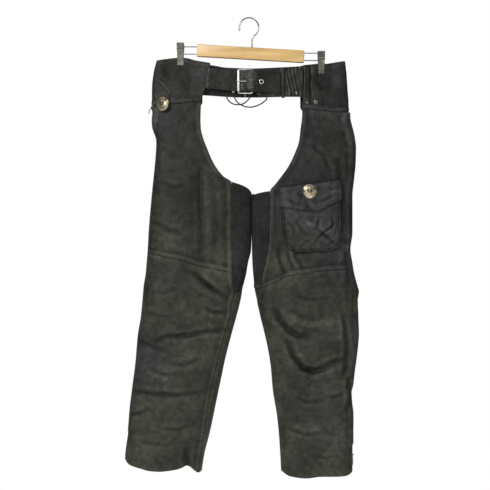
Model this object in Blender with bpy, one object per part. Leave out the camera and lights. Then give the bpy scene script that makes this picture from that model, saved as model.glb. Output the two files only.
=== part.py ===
# Leather riding chaps, buckled at the waist and hung from a clip hanger.
# X runs to the right as one faces the garment's front, -Y is the front and +Z is up.
# The origin is inside the top of the hanger's hook. Tables are in millimetres: a drop is measured
# down from the origin, and u is measured out from the middle, to -X on the wearer's right leg.

import math

import bmesh
import bpy
import numpy as np
from mathutils import Matrix, Vector

MM = 0.001
SEAM = 0.3
LEATHER = 1.8
STRETCH_WALL = 1.2
RIB_RISE = 0.9
RIB_PITCH = 11.6
FLAP_LOW = 3.1
FLAP_HIGH = 4.7
FLAP_SWELL = 1.6
FULLNESS = 0.5

# Each leg hung flat: the outer and inner edges and the depth of the front and of the back.
RIGHT_OUTLINE = (
    # drop, outer, inner, front, back
    (98, 232.0, -6.4, 8.0, 8.0),
    (139, 243.3, -6.4, 10.0, 10.0),
    (177, 247.4, -6.4, 12.0, 12.0),
    (226, 248.0, -6.4, 14.0, 14.0),
    (256, 248.6, -6.4, 16.0, 16.0),
    (284, 244.8, -6.4, 18.0, 18.0),
    (312, 238.0, -6.4, 20.0, 20.0),
    (345, 239.7, -6.4, 23.0, 22.0),
    (376, 242.3, -6.4, 25.0, 24.0),
    (453, 250.0, -6.4, 30.0, 27.0),
    (544, 257.6, -6.4, 33.0, 30.0),
    (590, 260.1, -4.6, 34.0, 31.0),
    (621, 262.7, 2.6, 34.0, 32.0),
    (651, 265.2, 7.7, 34.0, 32.0),
    (682, 270.3, 15.3, 34.0, 32.0),
    (713, 272.9, 20.4, 34.0, 32.0),
    (764, 278.0, 33.2, 33.0, 32.0),
    (810, 285.6, 45.9, 33.0, 31.0),
    (871, 290.7, 61.2, 32.0, 31.0),
    (932, 298.4, 74.0, 31.0, 30.0),
    (993, 306.0, 86.7, 31.0, 29.0),
    (1054, 311.1, 99.5, 30.0, 28.0),
    (1116, 318.8, 114.8, 29.0, 27.0),
    (1170, 320.0, 122.4, 28.0, 26.0),
)
LEFT_OUTLINE = (
    # drop, outer, inner, front, back
    (98, 243.0, 7.4, 8.0, 8.0),
    (139, 248.6, 7.4, 10.0, 10.0),
    (177, 251.2, 7.4, 12.0, 12.0),
    (218, 254.2, 7.4, 14.0, 14.0),
    (240, 254.5, 7.4, 15.0, 15.0),
    (269, 260.1, 7.4, 17.0, 17.0),
    (300, 267.8, 7.4, 20.0, 19.0),
    (330, 271.6, 7.4, 22.0, 21.0),
    (361, 272.3, 7.4, 24.0, 23.0),
    (407, 268.5, 7.4, 28.0, 25.0),
    (453, 263.9, 7.4, 30.0, 27.0),
    (544, 263.9, 7.4, 33.0, 30.0),
    (590, 258.8, 8.1, 34.0, 31.0),
    (621, 263.4, 9.0, 34.0, 32.0),
    (651, 268.5, 11.0, 34.0, 32.0),
    (682, 276.7, 13.0, 34.0, 32.0),
    (697, 280.6, 15.6, 34.0, 32.0),
    (718, 277.6, 20.4, 34.0, 32.0),
    (764, 279.2, 30.6, 33.0, 32.0),
    (794, 280.5, 38.3, 33.0, 32.0),
    (840, 278.0, 48.5, 33.0, 31.0),
    (886, 271.6, 56.1, 32.0, 31.0),
    (932, 266.5, 60.0, 31.0, 30.0),
    (952, 261.5, 62.0, 31.0, 30.0),
    (978, 263.4, 66.3, 31.0, 29.0),
    (1008, 266.5, 71.4, 31.0, 29.0),
    (1054, 266.5, 76.5, 30.0, 28.0),
    (1100, 266.5, 79.8, 29.0, 27.0),
    (1172, 266.5, 83.5, 28.0, 26.0),
)

# The front leather's inner edge: the opening, then the stretch panel's seam, then the inseam.
RIGHT_FRONT_EDGE = (
    # drop, u
    (98, 97.0),
    (154, 102.0),
    (185, 112.2),
    (213, 121.0),
    (256, 122.9),
    (282, 121.9),
    (305, 116.5),
    (339, 103.5),
    (373, 88.0),
    (404, 64.5),
    (414, 48.5),
    (418, 44.0),
    (520, 43.8),
    (660, 42.6),
    (703, 38.3),
    (718, 43.4),
    (756, 48.5),
    (782, 56.0),
    (845, 74.0),
    (922, 91.8),
    (973, 102.0),
    (1037, 112.2),
    (1088, 120.0),
    (1126, 126.0),
    (1170, 131.5),
)
LEFT_FRONT_EDGE = (
    # drop, u
    (98, 137.7),
    (206, 137.7),
    (222, 135.4),
    (250, 134.4),
    (287, 130.0),
    (313, 126.7),
    (336, 119.9),
    (360, 109.7),
    (383, 96.9),
    (404, 81.6),
    (425, 65.5),
    (440, 53.6),
    (470, 52.6),
    (565, 50.0),
    (640, 37.5),
    (664, 32.6),
    (684, 30.6),
    (760, 30.0),
    (1172, 88.5),
)
# The open seat's edge on the back leather, then the stretch panel's back seam.
RIGHT_BACK_EDGE = (
    # drop, u
    (98, 118.0),
    (213, 119.0),
    (235, 140.0),
    (262, 152.0),
    (290, 156.0),
    (318, 152.0),
    (345, 141.0),
    (372, 124.0),
    (398, 101.0),
    (420, 76.0),
    (437, 55.0),
    (448, 46.0),
    (560, 42.0),
    (640, 30.0),
    (676, 19.0),
)
LEFT_BACK_EDGE = (
    # drop, u
    (98, 130.0),
    (225, 131.0),
    (246, 146.0),
    (270, 156.0),
    (298, 160.0),
    (326, 156.0),
    (352, 146.0),
    (380, 128.0),
    (404, 106.0),
    (426, 82.0),
    (444, 60.0),
    (456, 50.0),
    (560, 46.0),
    (620, 32.0),
    (656, 17.0),
)
# Where the stretch panel's back seam rounds the inner fold, and where it meets the front edge.
RIGHT_TIP = {"crossing": 682.0, "tip": 703.0}
LEFT_TIP = {"crossing": 661.0, "tip": 684.0}
# Below its tip the left inseam goes round behind the fold.
LEFT_INSEAM = {"from": 684.0, "over": 60.0, "behind": 7.0}

# The stretch panel's free top edge, by the share of the way round from its front seam.
RIGHT_STRETCH_TOP = ((0.0, 418.0), (0.25, 432.0), (0.5, 446.0), (0.62, 451.0), (1.0, 449.0))
LEFT_STRETCH_TOP = ((0.0, 441.0), (0.2, 446.0), (0.42, 450.5), (0.55, 447.0), (1.0, 457.0))

RIGHT_WAIST = (
    # u, drop
    (96.0, 115.0),
    (132.0, 108.0),
    (166.0, 100.5),
    (184.0, 100.5),
    (206.0, 102.5),
    (236.0, 108.0),
)
LEFT_WAIST = (
    # u, drop
    (137.0, 119.5),
    (158.0, 117.0),
    (176.0, 115.5),
    (195.0, 115.5),
    (214.0, 113.0),
    (246.0, 108.5),
)
RIGHT_YOKE_SEAM = ((100.0, 212.0), (135.0, 214.0), (191.0, 218.8), (247.0, 222.5))
LEFT_YOKE_SEAM = ((120.0, 229.0), (180.0, 235.0), (221.0, 239.0), (256.0, 237.5))
RIGHT_THIGH_SEAM = (
    # u, drop
    (8.0, 650.0),
    (40.0, 647.0),
    (86.0, 638.0),
    (125.0, 631.0),
    (168.0, 617.0),
    (214.0, 608.0),
    (262.0, 596.0),
)
LEFT_THIGH_SEAM = (
    # u, drop
    (12.0, 688.0),
    (30.0, 685.0),
    (61.0, 673.0),
    (102.0, 655.5),
    (145.0, 649.7),
    (179.0, 644.0),
    (213.0, 640.5),
    (266.0, 638.0),
)
RIGHT_BACK_SEAM = ((8.0, 650.0), (90.0, 640.0), (180.0, 621.0), (262.0, 596.0))
LEFT_BACK_SEAM = ((12.0, 688.0), (60.0, 674.0), (120.0, 656.0), (180.0, 645.0), (266.0, 638.0))
RIGHT_HEM = (
    # u, drop
    (120.0, 1152.0),
    (127.0, 1155.0),
    (139.0, 1148.0),
    (149.0, 1139.5),
    (158.0, 1136.0),
    (171.0, 1142.0),
    (184.0, 1146.0),
    (202.0, 1149.0),
    (227.0, 1151.5),
    (252.0, 1149.5),
    (273.0, 1144.0),
    (293.0, 1138.5),
    (304.0, 1134.5),
    (319.0, 1119.0),
)
LEFT_HEM = (
    # u, drop
    (84.0, 1153.0),
    (104.0, 1163.5),
    (145.0, 1168.0),
    (182.0, 1164.0),
    (227.0, 1164.0),
    (246.0, 1162.5),
    (260.0, 1156.0),
    (266.5, 1142.0),
)

# The largest folds: a soft trough (depth above 0) or ridge (below 0) along a line on one side.
RIGHT_FOLDS = (
    # side, u0, drop0, u1, drop1, depth, width
    ("front", 118, 380, 124, 620, 5.5, 26),
    ("front", 92, 400, 84, 640, -2.5, 22),
    ("front", 138, 646, 59, 708, 6.0, 19),
    ("front", 132, 690, 66, 718, -4.0, 18),
    ("front", 54, 789, 235, 820, 4.5, 22),
    ("front", 293, 947, 117, 950, 4.0, 20),
    ("front", 212, 848, 272, 824, 4.0, 20),
    ("front", 158, 1090, 158, 1150, 4.5, 20),
    ("back", 70, 690, 190, 720, 6.0, 26),
    ("back", 80, 770, 230, 760, 5.0, 26),
    ("back", 110, 850, 240, 880, 4.0, 26),
    ("back", 150, 300, 140, 520, 4.0, 28),
)
LEFT_FOLDS = (
    # side, u0, drop0, u1, drop1, depth, width
    ("front", 65, 740, 96, 792, 6.5, 20),
    ("front", 96, 792, 148, 808, 6.5, 20),
    ("front", 97, 820, 163, 896, 7.5, 22),
    ("front", 163, 896, 235, 866, 7.5, 22),
    ("front", 100, 750, 205, 770, -4.0, 28),
    ("front", 150, 850, 190, 848, -4.0, 22),
    ("front", 240, 770, 240, 990, 4.0, 18),
    ("front", 84, 585, 96, 652, 4.0, 18),
    ("back", 80, 700, 200, 735, 6.0, 26),
    ("back", 90, 790, 225, 770, 5.5, 26),
    ("back", 110, 870, 230, 890, 4.0, 26),
    ("back", 150, 310, 145, 540, 4.0, 28),
)

# The zip and its flap run down the outer side, measured round from the outer fold: + is in front.
RIGHT_SIDE = {"zip": -31.0, "flap_front": -1.0, "flap_columns": (-47.0, -29.0, -16.0, -7.0)}
LEFT_SIDE = {"zip": -11.0, "flap_front": 26.0, "flap_columns": (-26.0, -14.0, -5.0)}
FLAP_LEAN = ((232.0, 23.0), (262.0, 18.0), (312.0, 2.0), (340.0, 0.0))
ZIP_HALF = 13.0
TEETH_HALF = 2.7
TAPE = 0.9
TEETH_RISE = 1.9
TEETH_ABOVE_SLIDER = 8.6
FLAP_END = 0.865

CLIP = {"right": 174.7, "left": 184.2, "half_width": 9.3, "top": {"right": 62.5, "left": 84.0}}

POCKET_LEFT = ((424.0, 78.5), (480.0, 81.0), (530.0, 84.0), (562.0, 88.0), (584.0, 96.0), (597.0, 113.0))
POCKET_RIGHT = (
    (400.0, 229.5),
    (480.0, 230.5),
    (540.0, 231.0),
    (568.0, 229.5),
    (586.0, 219.0),
    (594.0, 200.0),
)
POCKET_TOP = ((78.0, 447.0), (230.0, 425.0))
POCKET_BOTTOM = ((84.0, 598.0), (230.0, 593.0))
POCKET_DEPTH = 9.0
POCKET_WALL = 1.6
POCKET_FLAP_TOP = ((79.0, 430.0), (229.5, 409.5))
POCKET_FLAP_TIP = ((79.0, 482.0), (94.0, 484.0), (168.5, 494.5), (230.0, 463.0))
POCKET_FLAP_WALL = 1.7
POCKET_FLAP_GAP = 0.5

CONCHO_RADIUS = 18.2
CONCHO_RISE = 5.0
CONCHO_SLOT = {"apart": 8.0, "wide": 3.2, "tall": 8.4}
THONG = 2.0
POCKET_CONCHO = {"u": 152.5, "drop": 443.0}
HIP_CONCHO = {"u": 217.5, "drop": 220.5, "turn": 24.0, "lift": 11.4}
# A thong's spots are on its concho (across, up, out) or on the leg (u, drop, lift).
POCKET_THONG = (
    ("leg", 117.0, 463.5, 15.6),
    ("leg", 123.5, 457.5, 15.8),
    ("plate", -22.5, -5.5, 4.0),
    ("plate", -15.0, 1.0, 6.6),
    ("plate", -9.0, 3.0, 8.0),
    ("plate", -4.0, 1.0, 7.4),
    ("plate", -4.0, 1.0, 1.4),
    ("plate", 0.0, 1.0, 1.4),
    ("plate", 4.0, 1.0, 1.4),
    ("plate", 4.0, 1.0, 7.4),
    ("plate", 9.0, 4.6, 8.0),
    ("plate", 15.0, 6.4, 6.4),
    ("plate", 21.0, 6.6, 4.2),
    ("leg", 185.0, 434.6, 15.8),
    ("leg", 194.0, 437.2, 15.6),
    ("leg", 203.0, 440.0, 15.6),
)
HIP_THONG = (
    ("leg", 250.0, 243.0, 10.5),
    ("leg", 246.0, 236.0, 10.5),
    ("leg", 242.0, 228.0, 11.0),
    ("leg", 237.0, 220.0, 12.0),
    ("plate", -14.5, 10.0, 5.4),
    ("plate", -9.5, 11.0, 7.4),
    ("plate", -5.6, 6.4, 8.0),
    ("plate", -4.0, 1.0, 7.2),
    ("plate", -4.0, 1.0, 1.4),
    ("plate", 0.0, 1.0, 1.4),
    ("plate", 4.0, 1.0, 1.4),
    ("plate", 4.0, 1.0, 7.2),
    ("plate", 7.5, 6.5, 8.0),
    ("plate", 13.0, 12.5, 5.6),
    ("leg", 204.0, 200.7, 7.0),
    ("leg", 202.2, 193.5, 3.6),
    ("leg", 203.0, 187.0, 3.4),
    ("leg", 207.5, 181.0, 3.4),
    ("leg", 213.5, 174.5, 3.4),
    ("leg", 221.5, 166.0, 3.4),
    ("leg", 229.2, 157.6, 3.4),
)

# The belt: paths run from the wearer's right to the left.
TONGUE = {"wall": 3.0, "tall": 52.0}
TONGUE_PATH = (
    # x, y, z of the middle
    (-103.0, -16.6, -154.0),
    (-91.0, -16.2, -155.0),
    (-78.0, -15.6, -156.2),
    (-55.0, -14.4, -158.5),
    (-36.0, -13.2, -160.6),
    (-24.0, -13.4, -161.4),
    (-16.0, -15.0, -161.8),
    (-9.0, -18.0, -162.0),
    (-2.0, -21.4, -162.2),
    (8.0, -24.0, -162.6),
    (20.0, -24.0, -163.2),
    (27.9, -22.6, -163.6),
    (34.9, -21.4, -164.0),
    (50.0, -19.8, -165.0),
    (66.0, -18.8, -166.0),
    (80.0, -18.4, -166.8),
)
PRONG_SLOT = {"from": -16.0, "to": -2.0, "half": 3.4}
EYELET = {"x": 31.4, "half": 3.2}
BASE = {"wall": 2.4}
BASE_PATH = (
    # x, y, top z, bottom z
    (137.4, -13.2, -127.5, -201.5),
    (124.0, -12.9, -128.0, -201.5),
    (104.0, -12.8, -128.5, -201.5),
    (84.0, -12.8, -129.5, -201.3),
    (60.0, -12.8, -130.5, -201.0),
    (36.0, -12.8, -131.3, -201.0),
    (24.0, -12.8, -133.0, -199.0),
    (16.0, -12.8, -137.0, -187.5),
    (10.0, -12.8, -137.5, -187.0),
    (7.0, -14.0, -137.5, -187.0),
    (5.8, -16.6, -137.5, -187.0),
    (7.0, -19.4, -137.5, -187.0),
    (10.5, -20.6, -137.5, -187.0),
    (16.0, -19.8, -137.5, -187.5),
    (23.0, -17.4, -137.5, -188.0),
    (34.0, -15.8, -138.0, -189.0),
    (56.0, -15.6, -139.0, -190.0),
)
KEEPER = {
    "x": 86.5,
    "width": 8.0,
    "top": -127.0,
    "bottom": -204.0,
    "front": -19.6,
    "back": -10.4,
    "wall": 1.8,
}
FRAME = {"x": -9.5, "z": -162.0, "wide": 41.0, "tall": 64.0, "round": 5.0, "y": -16.9, "wire": 1.75}
PRONG = {"tip": -33.0, "radius": 1.3}

BACK_BAND = {"wall": 2.2}
RIGHT_BAND_PATH = (
    # x, y, top z, bottom z
    (-118.0, 12.0, -115.5, -194.5),
    (-94.0, 12.6, -117.5, -196.0),
    (-66.0, 13.6, -122.5, -198.0),
    (-42.0, 14.0, -124.0, -199.5),
    (-36.0, 14.0, -124.3, -199.8),
    (-30.0, 14.0, -124.6, -200.0),
    (-11.0, 14.0, -125.3, -200.0),
)
LEFT_BAND_PATH = (
    # x, y, top z, bottom z
    (-9.0, 14.0, -125.4, -200.0),
    (10.0, 14.0, -125.6, -200.0),
    (16.0, 14.0, -125.5, -200.0),
    (22.0, 14.0, -125.3, -200.0),
    (48.0, 13.8, -124.2, -199.5),
    (84.0, 13.2, -122.6, -198.5),
    (106.0, 12.7, -121.6, -198.0),
    (130.0, 12.0, -120.4, -197.5),
)
BAND_EYELETS = {"right": -39.0, "left": 19.0, "rows": (-139.0, -162.0, -185.0), "half": 3.0}
LACE = 3.4
# The back lace from its knot: the near loop, up inside, back and forth across the gap, the far loop.
BACK_LACE = (
    # x, y, z
    (-1.0, 4.0, -192.0),
    (2.0, 3.6, -200.5),
    (-6.0, 3.4, -211.0),
    (-13.5, 3.2, -216.4),
    (-22.0, 3.2, -219.0),
    (-31.0, 3.2, -219.4),
    (-39.0, 3.2, -218.0),
    (-46.5, 3.3, -214.4),
    (-52.5, 3.5, -208.5),
    (-56.5, 4.2, -200.5),
    (-57.5, 5.4, -190.0),
    (-55.5, 6.8, -178.0),
    (-51.0, 7.8, -164.0),
    (-46.0, 8.4, -152.0),
    (-41.0, 8.6, -143.4),
    (-39.0, 10.6, -139.0),
    (-39.0, 18.4, -139.0),
    (-31.0, 18.7, -139.2),
    (-21.0, 18.7, -139.6),
    (-10.0, 18.7, -140.0),
    (1.0, 18.7, -139.6),
    (11.0, 18.7, -139.2),
    (19.0, 18.4, -139.0),
    (19.0, 10.6, -139.0),
    (20.6, 10.3, -146.0),
    (20.6, 10.3, -155.0),
    (19.0, 10.6, -162.0),
    (19.0, 18.4, -162.0),
    (11.0, 18.7, -162.2),
    (1.0, 18.7, -162.6),
    (-10.0, 18.7, -163.0),
    (-21.0, 18.7, -162.6),
    (-31.0, 18.7, -162.2),
    (-39.0, 18.4, -162.0),
    (-39.0, 10.6, -162.0),
    (-40.6, 10.3, -169.0),
    (-40.6, 10.3, -178.0),
    (-39.0, 10.6, -185.0),
    (-39.0, 18.4, -185.0),
    (-31.0, 18.7, -185.2),
    (-21.0, 18.7, -185.6),
    (-10.0, 18.7, -186.0),
    (1.0, 18.7, -185.6),
    (11.0, 18.7, -185.2),
    (19.0, 18.4, -185.0),
    (19.0, 10.6, -185.0),
    (27.0, 8.2, -186.0),
    (37.0, 8.0, -189.6),
    (44.5, 8.0, -196.0),
    (45.5, 8.0, -204.0),
    (39.0, 8.0, -211.0),
    (31.0, 8.0, -216.6),
    (22.0, 8.0, -221.0),
    (12.0, 8.0, -224.0),
    (2.0, 8.0, -225.4),
    (-8.0, 8.0, -224.0),
    (-18.0, 8.0, -220.6),
    (-26.5, 8.0, -215.4),
    (-33.0, 8.1, -208.6),
    (-36.6, 8.3, -200.4),
    (-33.0, 8.6, -192.0),
    (-25.0, 8.8, -187.5),
)

LOOP = {"x0": 135.6, "x1": 152.6, "top": 121.5, "bottom": 221.0}
TAB = ((119.0, 158.5, 173.0), (148.0, 157.6, 174.2), (195.0, 156.8, 186.0), (222.0, 156.8, 186.4))
TAB_ROUND = {"drop": 227.0, "u": 171.6}
SNAP = {"u": 170.0, "drop": 214.5, "radius": 6.0}
RIVETS = {"belt": (121.0, -191.5), "loop": (148.0, 216.5)}

# The hanger: a wooden bar with a wire hook, and a sliding clip at each end.
HOOK = {"radius": 24.6, "wire": 1.8, "stem_x": 7.6, "stem_z": -78.5}
BAR = {"x": 4.2, "z": -89.8, "long": 273.6, "tall": 31.6, "thick": 13.0, "tilt": 3.37, "round": 2.5}
WIRE = {"radius": 1.3, "spread": 18.6}
JAW = (
    # down from the clip's top, half gap, as the jaw's inner face runs
    (0.0, 8.6),
    (14.0, 6.9),
    (24.0, 6.1),
    (40.0, 3.2),
    (47.0, 2.45),
    (57.0, 2.45),
)
JAW_WALL = 1.5
CLIP_SPRING = {"down": 22.0, "radius": 5.6}


def through(rows, column=1):
    """A smooth curve through a table's rows that doesn't overshoot them."""
    at = np.array([row[0] for row in rows], float)
    value = np.array([row[column] for row in rows], float)
    step = np.diff(at)
    rise = np.diff(value) / step
    slope = np.concatenate([[rise[0]], np.zeros(len(at) - 2), [rise[-1]]])
    same = rise[:-1] * rise[1:] > 0
    mean = 2 * rise[:-1] * rise[1:] / np.where(same, rise[:-1] + rise[1:], 1)
    slope[1:-1] = np.where(same, mean, 0)

    def curve(x):
        x = np.clip(x, at[0], at[-1])
        i = np.clip(np.searchsorted(at, x) - 1, 0, len(step) - 1)
        t = (x - at[i]) / step[i]
        start = value[i] * (1 + 2 * t) * (1 - t) ** 2 + slope[i] * step[i] * t * (1 - t) ** 2
        end = value[i + 1] * t * t * (3 - 2 * t) + slope[i + 1] * step[i] * t * t * (t - 1)
        return start + end

    return curve


def straight(rows):
    """Straight lines through a table's rows."""
    at, value = zip(*rows)
    return lambda x: np.interp(x, at, value)


def ease(x):
    """A soft step from 0 to 1."""
    x = np.clip(x, 0.0, 1.0)
    return x * x * (3 - 2 * x)


class Leg:
    """One leg's inner surface, by the angle round its girth and the drop.

    The angle is 0 at the outer fold, rises over the front to pi at the inner fold, and goes on
    over the back, or falls below 0 over the back from the outer fold.
    """

    def __init__(self, side, outline, folds, clip, waist, seam_drop, edges):
        self.side = side
        self.edges = [
            (np.mean([row[1] for row in front]), through(front), through(back))
            for front, back in edges
        ]
        self.outer, self.inner, self.front_depth, self.back_depth = (
            through(outline, column) for column in (1, 2, 3, 4)
        )
        self.folds = folds
        self.clip = clip
        self.waist = waist
        self.seam_drop = seam_drop

    def half(self, drop):
        cover = LEATHER + (FLAP_HIGH - LEATHER) * ease((drop - self.seam_drop) / 25)
        outer = self.outer(drop) - cover
        inner = self.inner(drop) + LEATHER
        return (outer - inner) / 2, (outer + inner) / 2

    def u(self, theta, drop):
        half, middle = self.half(drop)
        return middle + half * np.cos(theta)

    def front(self, u, drop):
        half, middle = self.half(drop)
        return np.arccos(np.clip((u - middle) / half, -1, 1))

    def back(self, u, drop):
        return -self.front(u, drop)

    def pinch(self, u, drop):
        near = np.exp(-((np.maximum(np.abs(u - self.clip) - 24, 0) / 24) ** 2))
        low = np.exp(-((np.maximum(drop - self.waist - 27, 0) / 42) ** 2))
        return 1 - 0.97 * near * low

    def dent(self, u, drop, front):
        total = np.zeros(np.broadcast(u, drop).shape)
        for side, u0, drop0, u1, drop1, depth, width in self.folds:
            run = np.array((u1 - u0, drop1 - drop0), float)
            t = ((u - u0) * run[0] + (drop - drop0) * run[1]) / (run @ run)
            t = np.clip(t, 0, 1)
            away = (u - u0 - t * run[0]) ** 2 + (drop - drop0 - t * run[1]) ** 2
            total += np.where(front == (side == "front"), depth * np.exp(-away / width**2), 0)
        return total

    def base(self, theta, drop):
        theta, drop = np.broadcast_arrays(np.asarray(theta, float), np.asarray(drop, float))
        half, middle = self.half(drop)
        u = middle + half * np.cos(theta)
        sine = np.sin(theta)
        front = sine > 0
        depth = np.where(front, self.front_depth(drop), self.back_depth(drop))
        depth = depth * (1 + FULLNESS * np.cos(theta) ** 2) * self.pinch(u, drop)
        depth = depth - self.dent(u, drop, front) * np.abs(sine)
        return np.stack([self.side * u, -sine * depth, -drop], axis=-1)

    def level(self, place, theta):
        """The drop of a row: 0 is the waist, 1 the yoke's seam, 2 the thigh's and 3 the hem."""
        ladder = []
        for usual, front, back in self.edges:
            u = self.u(theta, usual)
            ladder.append(np.where(np.sin(theta) > 0, front(u), back(u)))
        ladder = np.array(ladder)
        low = np.clip(np.floor(place).astype(int), 0, 2)
        part = np.asarray(place, float) - low
        which = np.arange(len(theta))
        return ladder[low, which] * (1 - part) + ladder[low + 1, which] * part

    def skin(self, theta, drop, lift):
        """Points moved out from the inner surface, in metres."""
        turn, fall = 0.002, 0.5
        point = self.base(theta, drop)
        along = self.base(theta + turn, drop) - self.base(theta - turn, drop)
        down = self.base(theta, drop + fall) - self.base(theta, drop - fall)
        normal = self.side * np.cross(along, down)
        normal /= np.linalg.norm(normal, axis=-1, keepdims=True)
        return (point + normal * np.asarray(lift, float)[..., None]) * MM

    def around(self, theta, drop, reach):
        """The angle a distance further round the girth."""
        steps = 24
        theta = np.asarray(theta, float) + np.zeros(np.shape(drop))
        for _ in range(steps):
            gap = self.base(theta + 0.002, drop) - self.base(theta - 0.002, drop)
            theta = theta + reach / steps * 0.004 / np.linalg.norm(gap, axis=-1)
        return theta

    def seat(self, u, drop, lift, level=False):
        """A frame on the front at u and drop: across, up and out, as a matrix."""
        return self.frame(self.front(u, drop), drop, lift, level)

    def frame(self, theta, drop, lift, level=False):
        here = Vector(self.skin(theta, drop, lift))
        out = here - Vector(self.skin(theta, drop, lift - 1.0))
        if level:
            out.z = 0.0
        out.normalize()
        up = (Vector((0, 0, 1)) - out * out.z).normalized()
        across = up.cross(out)
        frame = Matrix((across, up, out)).transposed().to_4x4()
        return Matrix.Translation(here) @ frame


RIGHT = Leg(
    -1,
    RIGHT_OUTLINE,
    RIGHT_FOLDS,
    CLIP["right"],
    98.0,
    222.0,
    (
        (RIGHT_WAIST, RIGHT_WAIST),
        (RIGHT_YOKE_SEAM, RIGHT_YOKE_SEAM),
        (RIGHT_THIGH_SEAM, RIGHT_BACK_SEAM),
        (RIGHT_HEM, RIGHT_HEM),
    ),
)
LEFT = Leg(
    1,
    LEFT_OUTLINE,
    LEFT_FOLDS,
    CLIP["left"],
    118.0,
    237.0,
    (
        (LEFT_WAIST, LEFT_WAIST),
        (LEFT_YOKE_SEAM, LEFT_YOKE_SEAM),
        (LEFT_THIGH_SEAM, LEFT_BACK_SEAM),
        (LEFT_HEM, LEFT_HEM),
    ),
)

COLOURS = {
    "leather": ((0.032, 0.033, 0.028), 0.5, 0.0),
    "stretch": ((0.018, 0.018, 0.018), 0.8, 0.0),
    "belt": ((0.012, 0.012, 0.011), 0.4, 0.0),
    "lace": ((0.02, 0.015, 0.011), 0.6, 0.0),
    "zip_tape": ((0.01, 0.01, 0.01), 0.8, 0.0),
    "nickel": ((0.55, 0.53, 0.5), 0.3, 1.0),
    "concho": ((0.42, 0.37, 0.24), 0.35, 1.0),
    "chrome": ((0.6, 0.6, 0.6), 0.15, 1.0),
    "steel": ((0.3, 0.29, 0.27), 0.4, 1.0),
    "rivet": ((0.2, 0.15, 0.11), 0.45, 1.0),
    "wood": ((0.62, 0.38, 0.14), 0.45, 0.0),
}


def clear_scene():
    for thing in list(bpy.data.objects):
        bpy.data.objects.remove(thing, do_unlink=True)


def material(name):
    found = bpy.data.materials.get(name)
    if found:
        return found
    colour, roughness, metallic = COLOURS[name]
    made = bpy.data.materials.new(name)
    made.use_nodes = True
    shader = made.node_tree.nodes["Principled BSDF"]
    shader.inputs["Base Color"].default_value = (*colour, 1.0)
    shader.inputs["Roughness"].default_value = roughness
    shader.inputs["Metallic"].default_value = metallic
    return made


def place(name, mesh_maker, finish, smooth=True):
    """Make an object from a bmesh and give it its material."""
    mesh = bpy.data.meshes.new(name)
    bmesh.ops.recalc_face_normals(mesh_maker, faces=mesh_maker.faces)
    mesh_maker.to_mesh(mesh)
    mesh_maker.free()
    thing = bpy.data.objects.new(name, mesh)
    bpy.context.collection.objects.link(thing)
    mesh.materials.append(material(finish))
    if smooth:
        mesh.shade_smooth()
        mesh.set_sharp_from_angle(angle=math.radians(40))
    return thing


def wall(name, low, high, finish, cut=()):
    """A closed wall between two grids of points; cut names the cells that are left open."""
    rows, columns = low.shape[:2]
    made = bmesh.new()
    sides = [
        [[made.verts.new(point) for point in line] for line in grid] for grid in (low, high)
    ]
    cells = {
        (i, j) for i in range(rows - 1) for j in range(columns - 1) if (i, j) not in cut
    }
    for i, j in sorted(cells):
        corner = ((i, j), (i, j + 1), (i + 1, j + 1), (i + 1, j))
        for side, order in zip(sides, (1, -1)):
            made.faces.new([side[a][b] for a, b in corner[::order]])
        beside = ((i - 1, j), (i, j + 1), (i + 1, j), (i, j - 1))
        for k, other in enumerate(beside):
            if other not in cells:
                a, b = corner[k], corner[(k + 1) % 4]
                edge = (sides[0][a[0]][a[1]], sides[0][b[0]][b[1]])
                made.faces.new((*edge[::-1], sides[1][a[0]][a[1]], sides[1][b[0]][b[1]]))
    loose = [vert for vert in made.verts if not vert.link_faces]
    bmesh.ops.delete(made, geom=loose, context="VERTS")
    return place(name, made, finish)


GRID = np.arange(90.0, 1184.0, 3.0)


def tabled(column):
    """A column worked out once down the leg and read from then on."""
    found = column(GRID)
    return lambda drop: np.interp(drop, GRID, found)


def between(left, right, share):
    """A column part of the way from one edge to another."""
    return lambda drop: left(drop) * (1 - share) + right(drop) * share


def round_from_fold(leg, reach):
    """A column at a distance round from the outer fold, + over the front."""
    return tabled(
        lambda drop: leg.around(0.0 * drop, drop, reach(drop) if callable(reach) else reach)
    )


def spots(leg, column, rows, share):
    """Where a column meets each row: angles and drops.

    A row is a place on the leg, a place and an offset down from it, or the drop at a share of
    the way across.
    """
    place = np.array(
        [row[0] if isinstance(row, tuple) else 0.0 if callable(row) else row for row in rows]
    )
    offset = np.array([row[1] if isinstance(row, tuple) else 0.0 for row in rows])
    fixed = np.array([float(row(share)) if callable(row) else np.nan for row in rows])
    drop = np.where(np.isnan(fixed), 300.0 + 280 * (place - 1), fixed)
    for _ in range(24):
        theta = column(drop)
        goal = np.where(np.isnan(fixed), leg.level(place, theta) + offset, fixed)
        drop = 0.35 * drop + 0.65 * goal
    return column(drop), drop


def panel(leg, name, columns, rows, lifts, finish="leather", inset=(0.15, 0.15), open_top=False):
    """A wall on a leg over columns of angles and rows of drops."""
    thetas, drops = [], []
    last = len(columns) - 1
    for number, column in enumerate(columns):
        theta, drop = spots(leg, column, rows, number / last)
        drop[0] += 0.0 if open_top else SEAM / 2
        drop[-1] -= SEAM / 2
        if number in (0, last):
            theta = leg.around(theta, drop, inset[0] if number == 0 else -inset[1])
        thetas.append(theta)
        drops.append(drop)
    theta, drop = np.array(thetas).T, np.array(drops).T
    share = np.linspace(0, 1, last + 1)[None, :] + 0 * drop
    under, over = (lift(share, drop) if callable(lift) else lift + 0 * drop for lift in lifts)
    return wall(name, leg.skin(theta, drop, under), leg.skin(theta, drop, over), finish)


def spaced(count):
    return np.linspace(0, 1, count + 1)


def columns_between(left, right, count):
    return [between(left, right, share) for share in spaced(count)]


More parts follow.
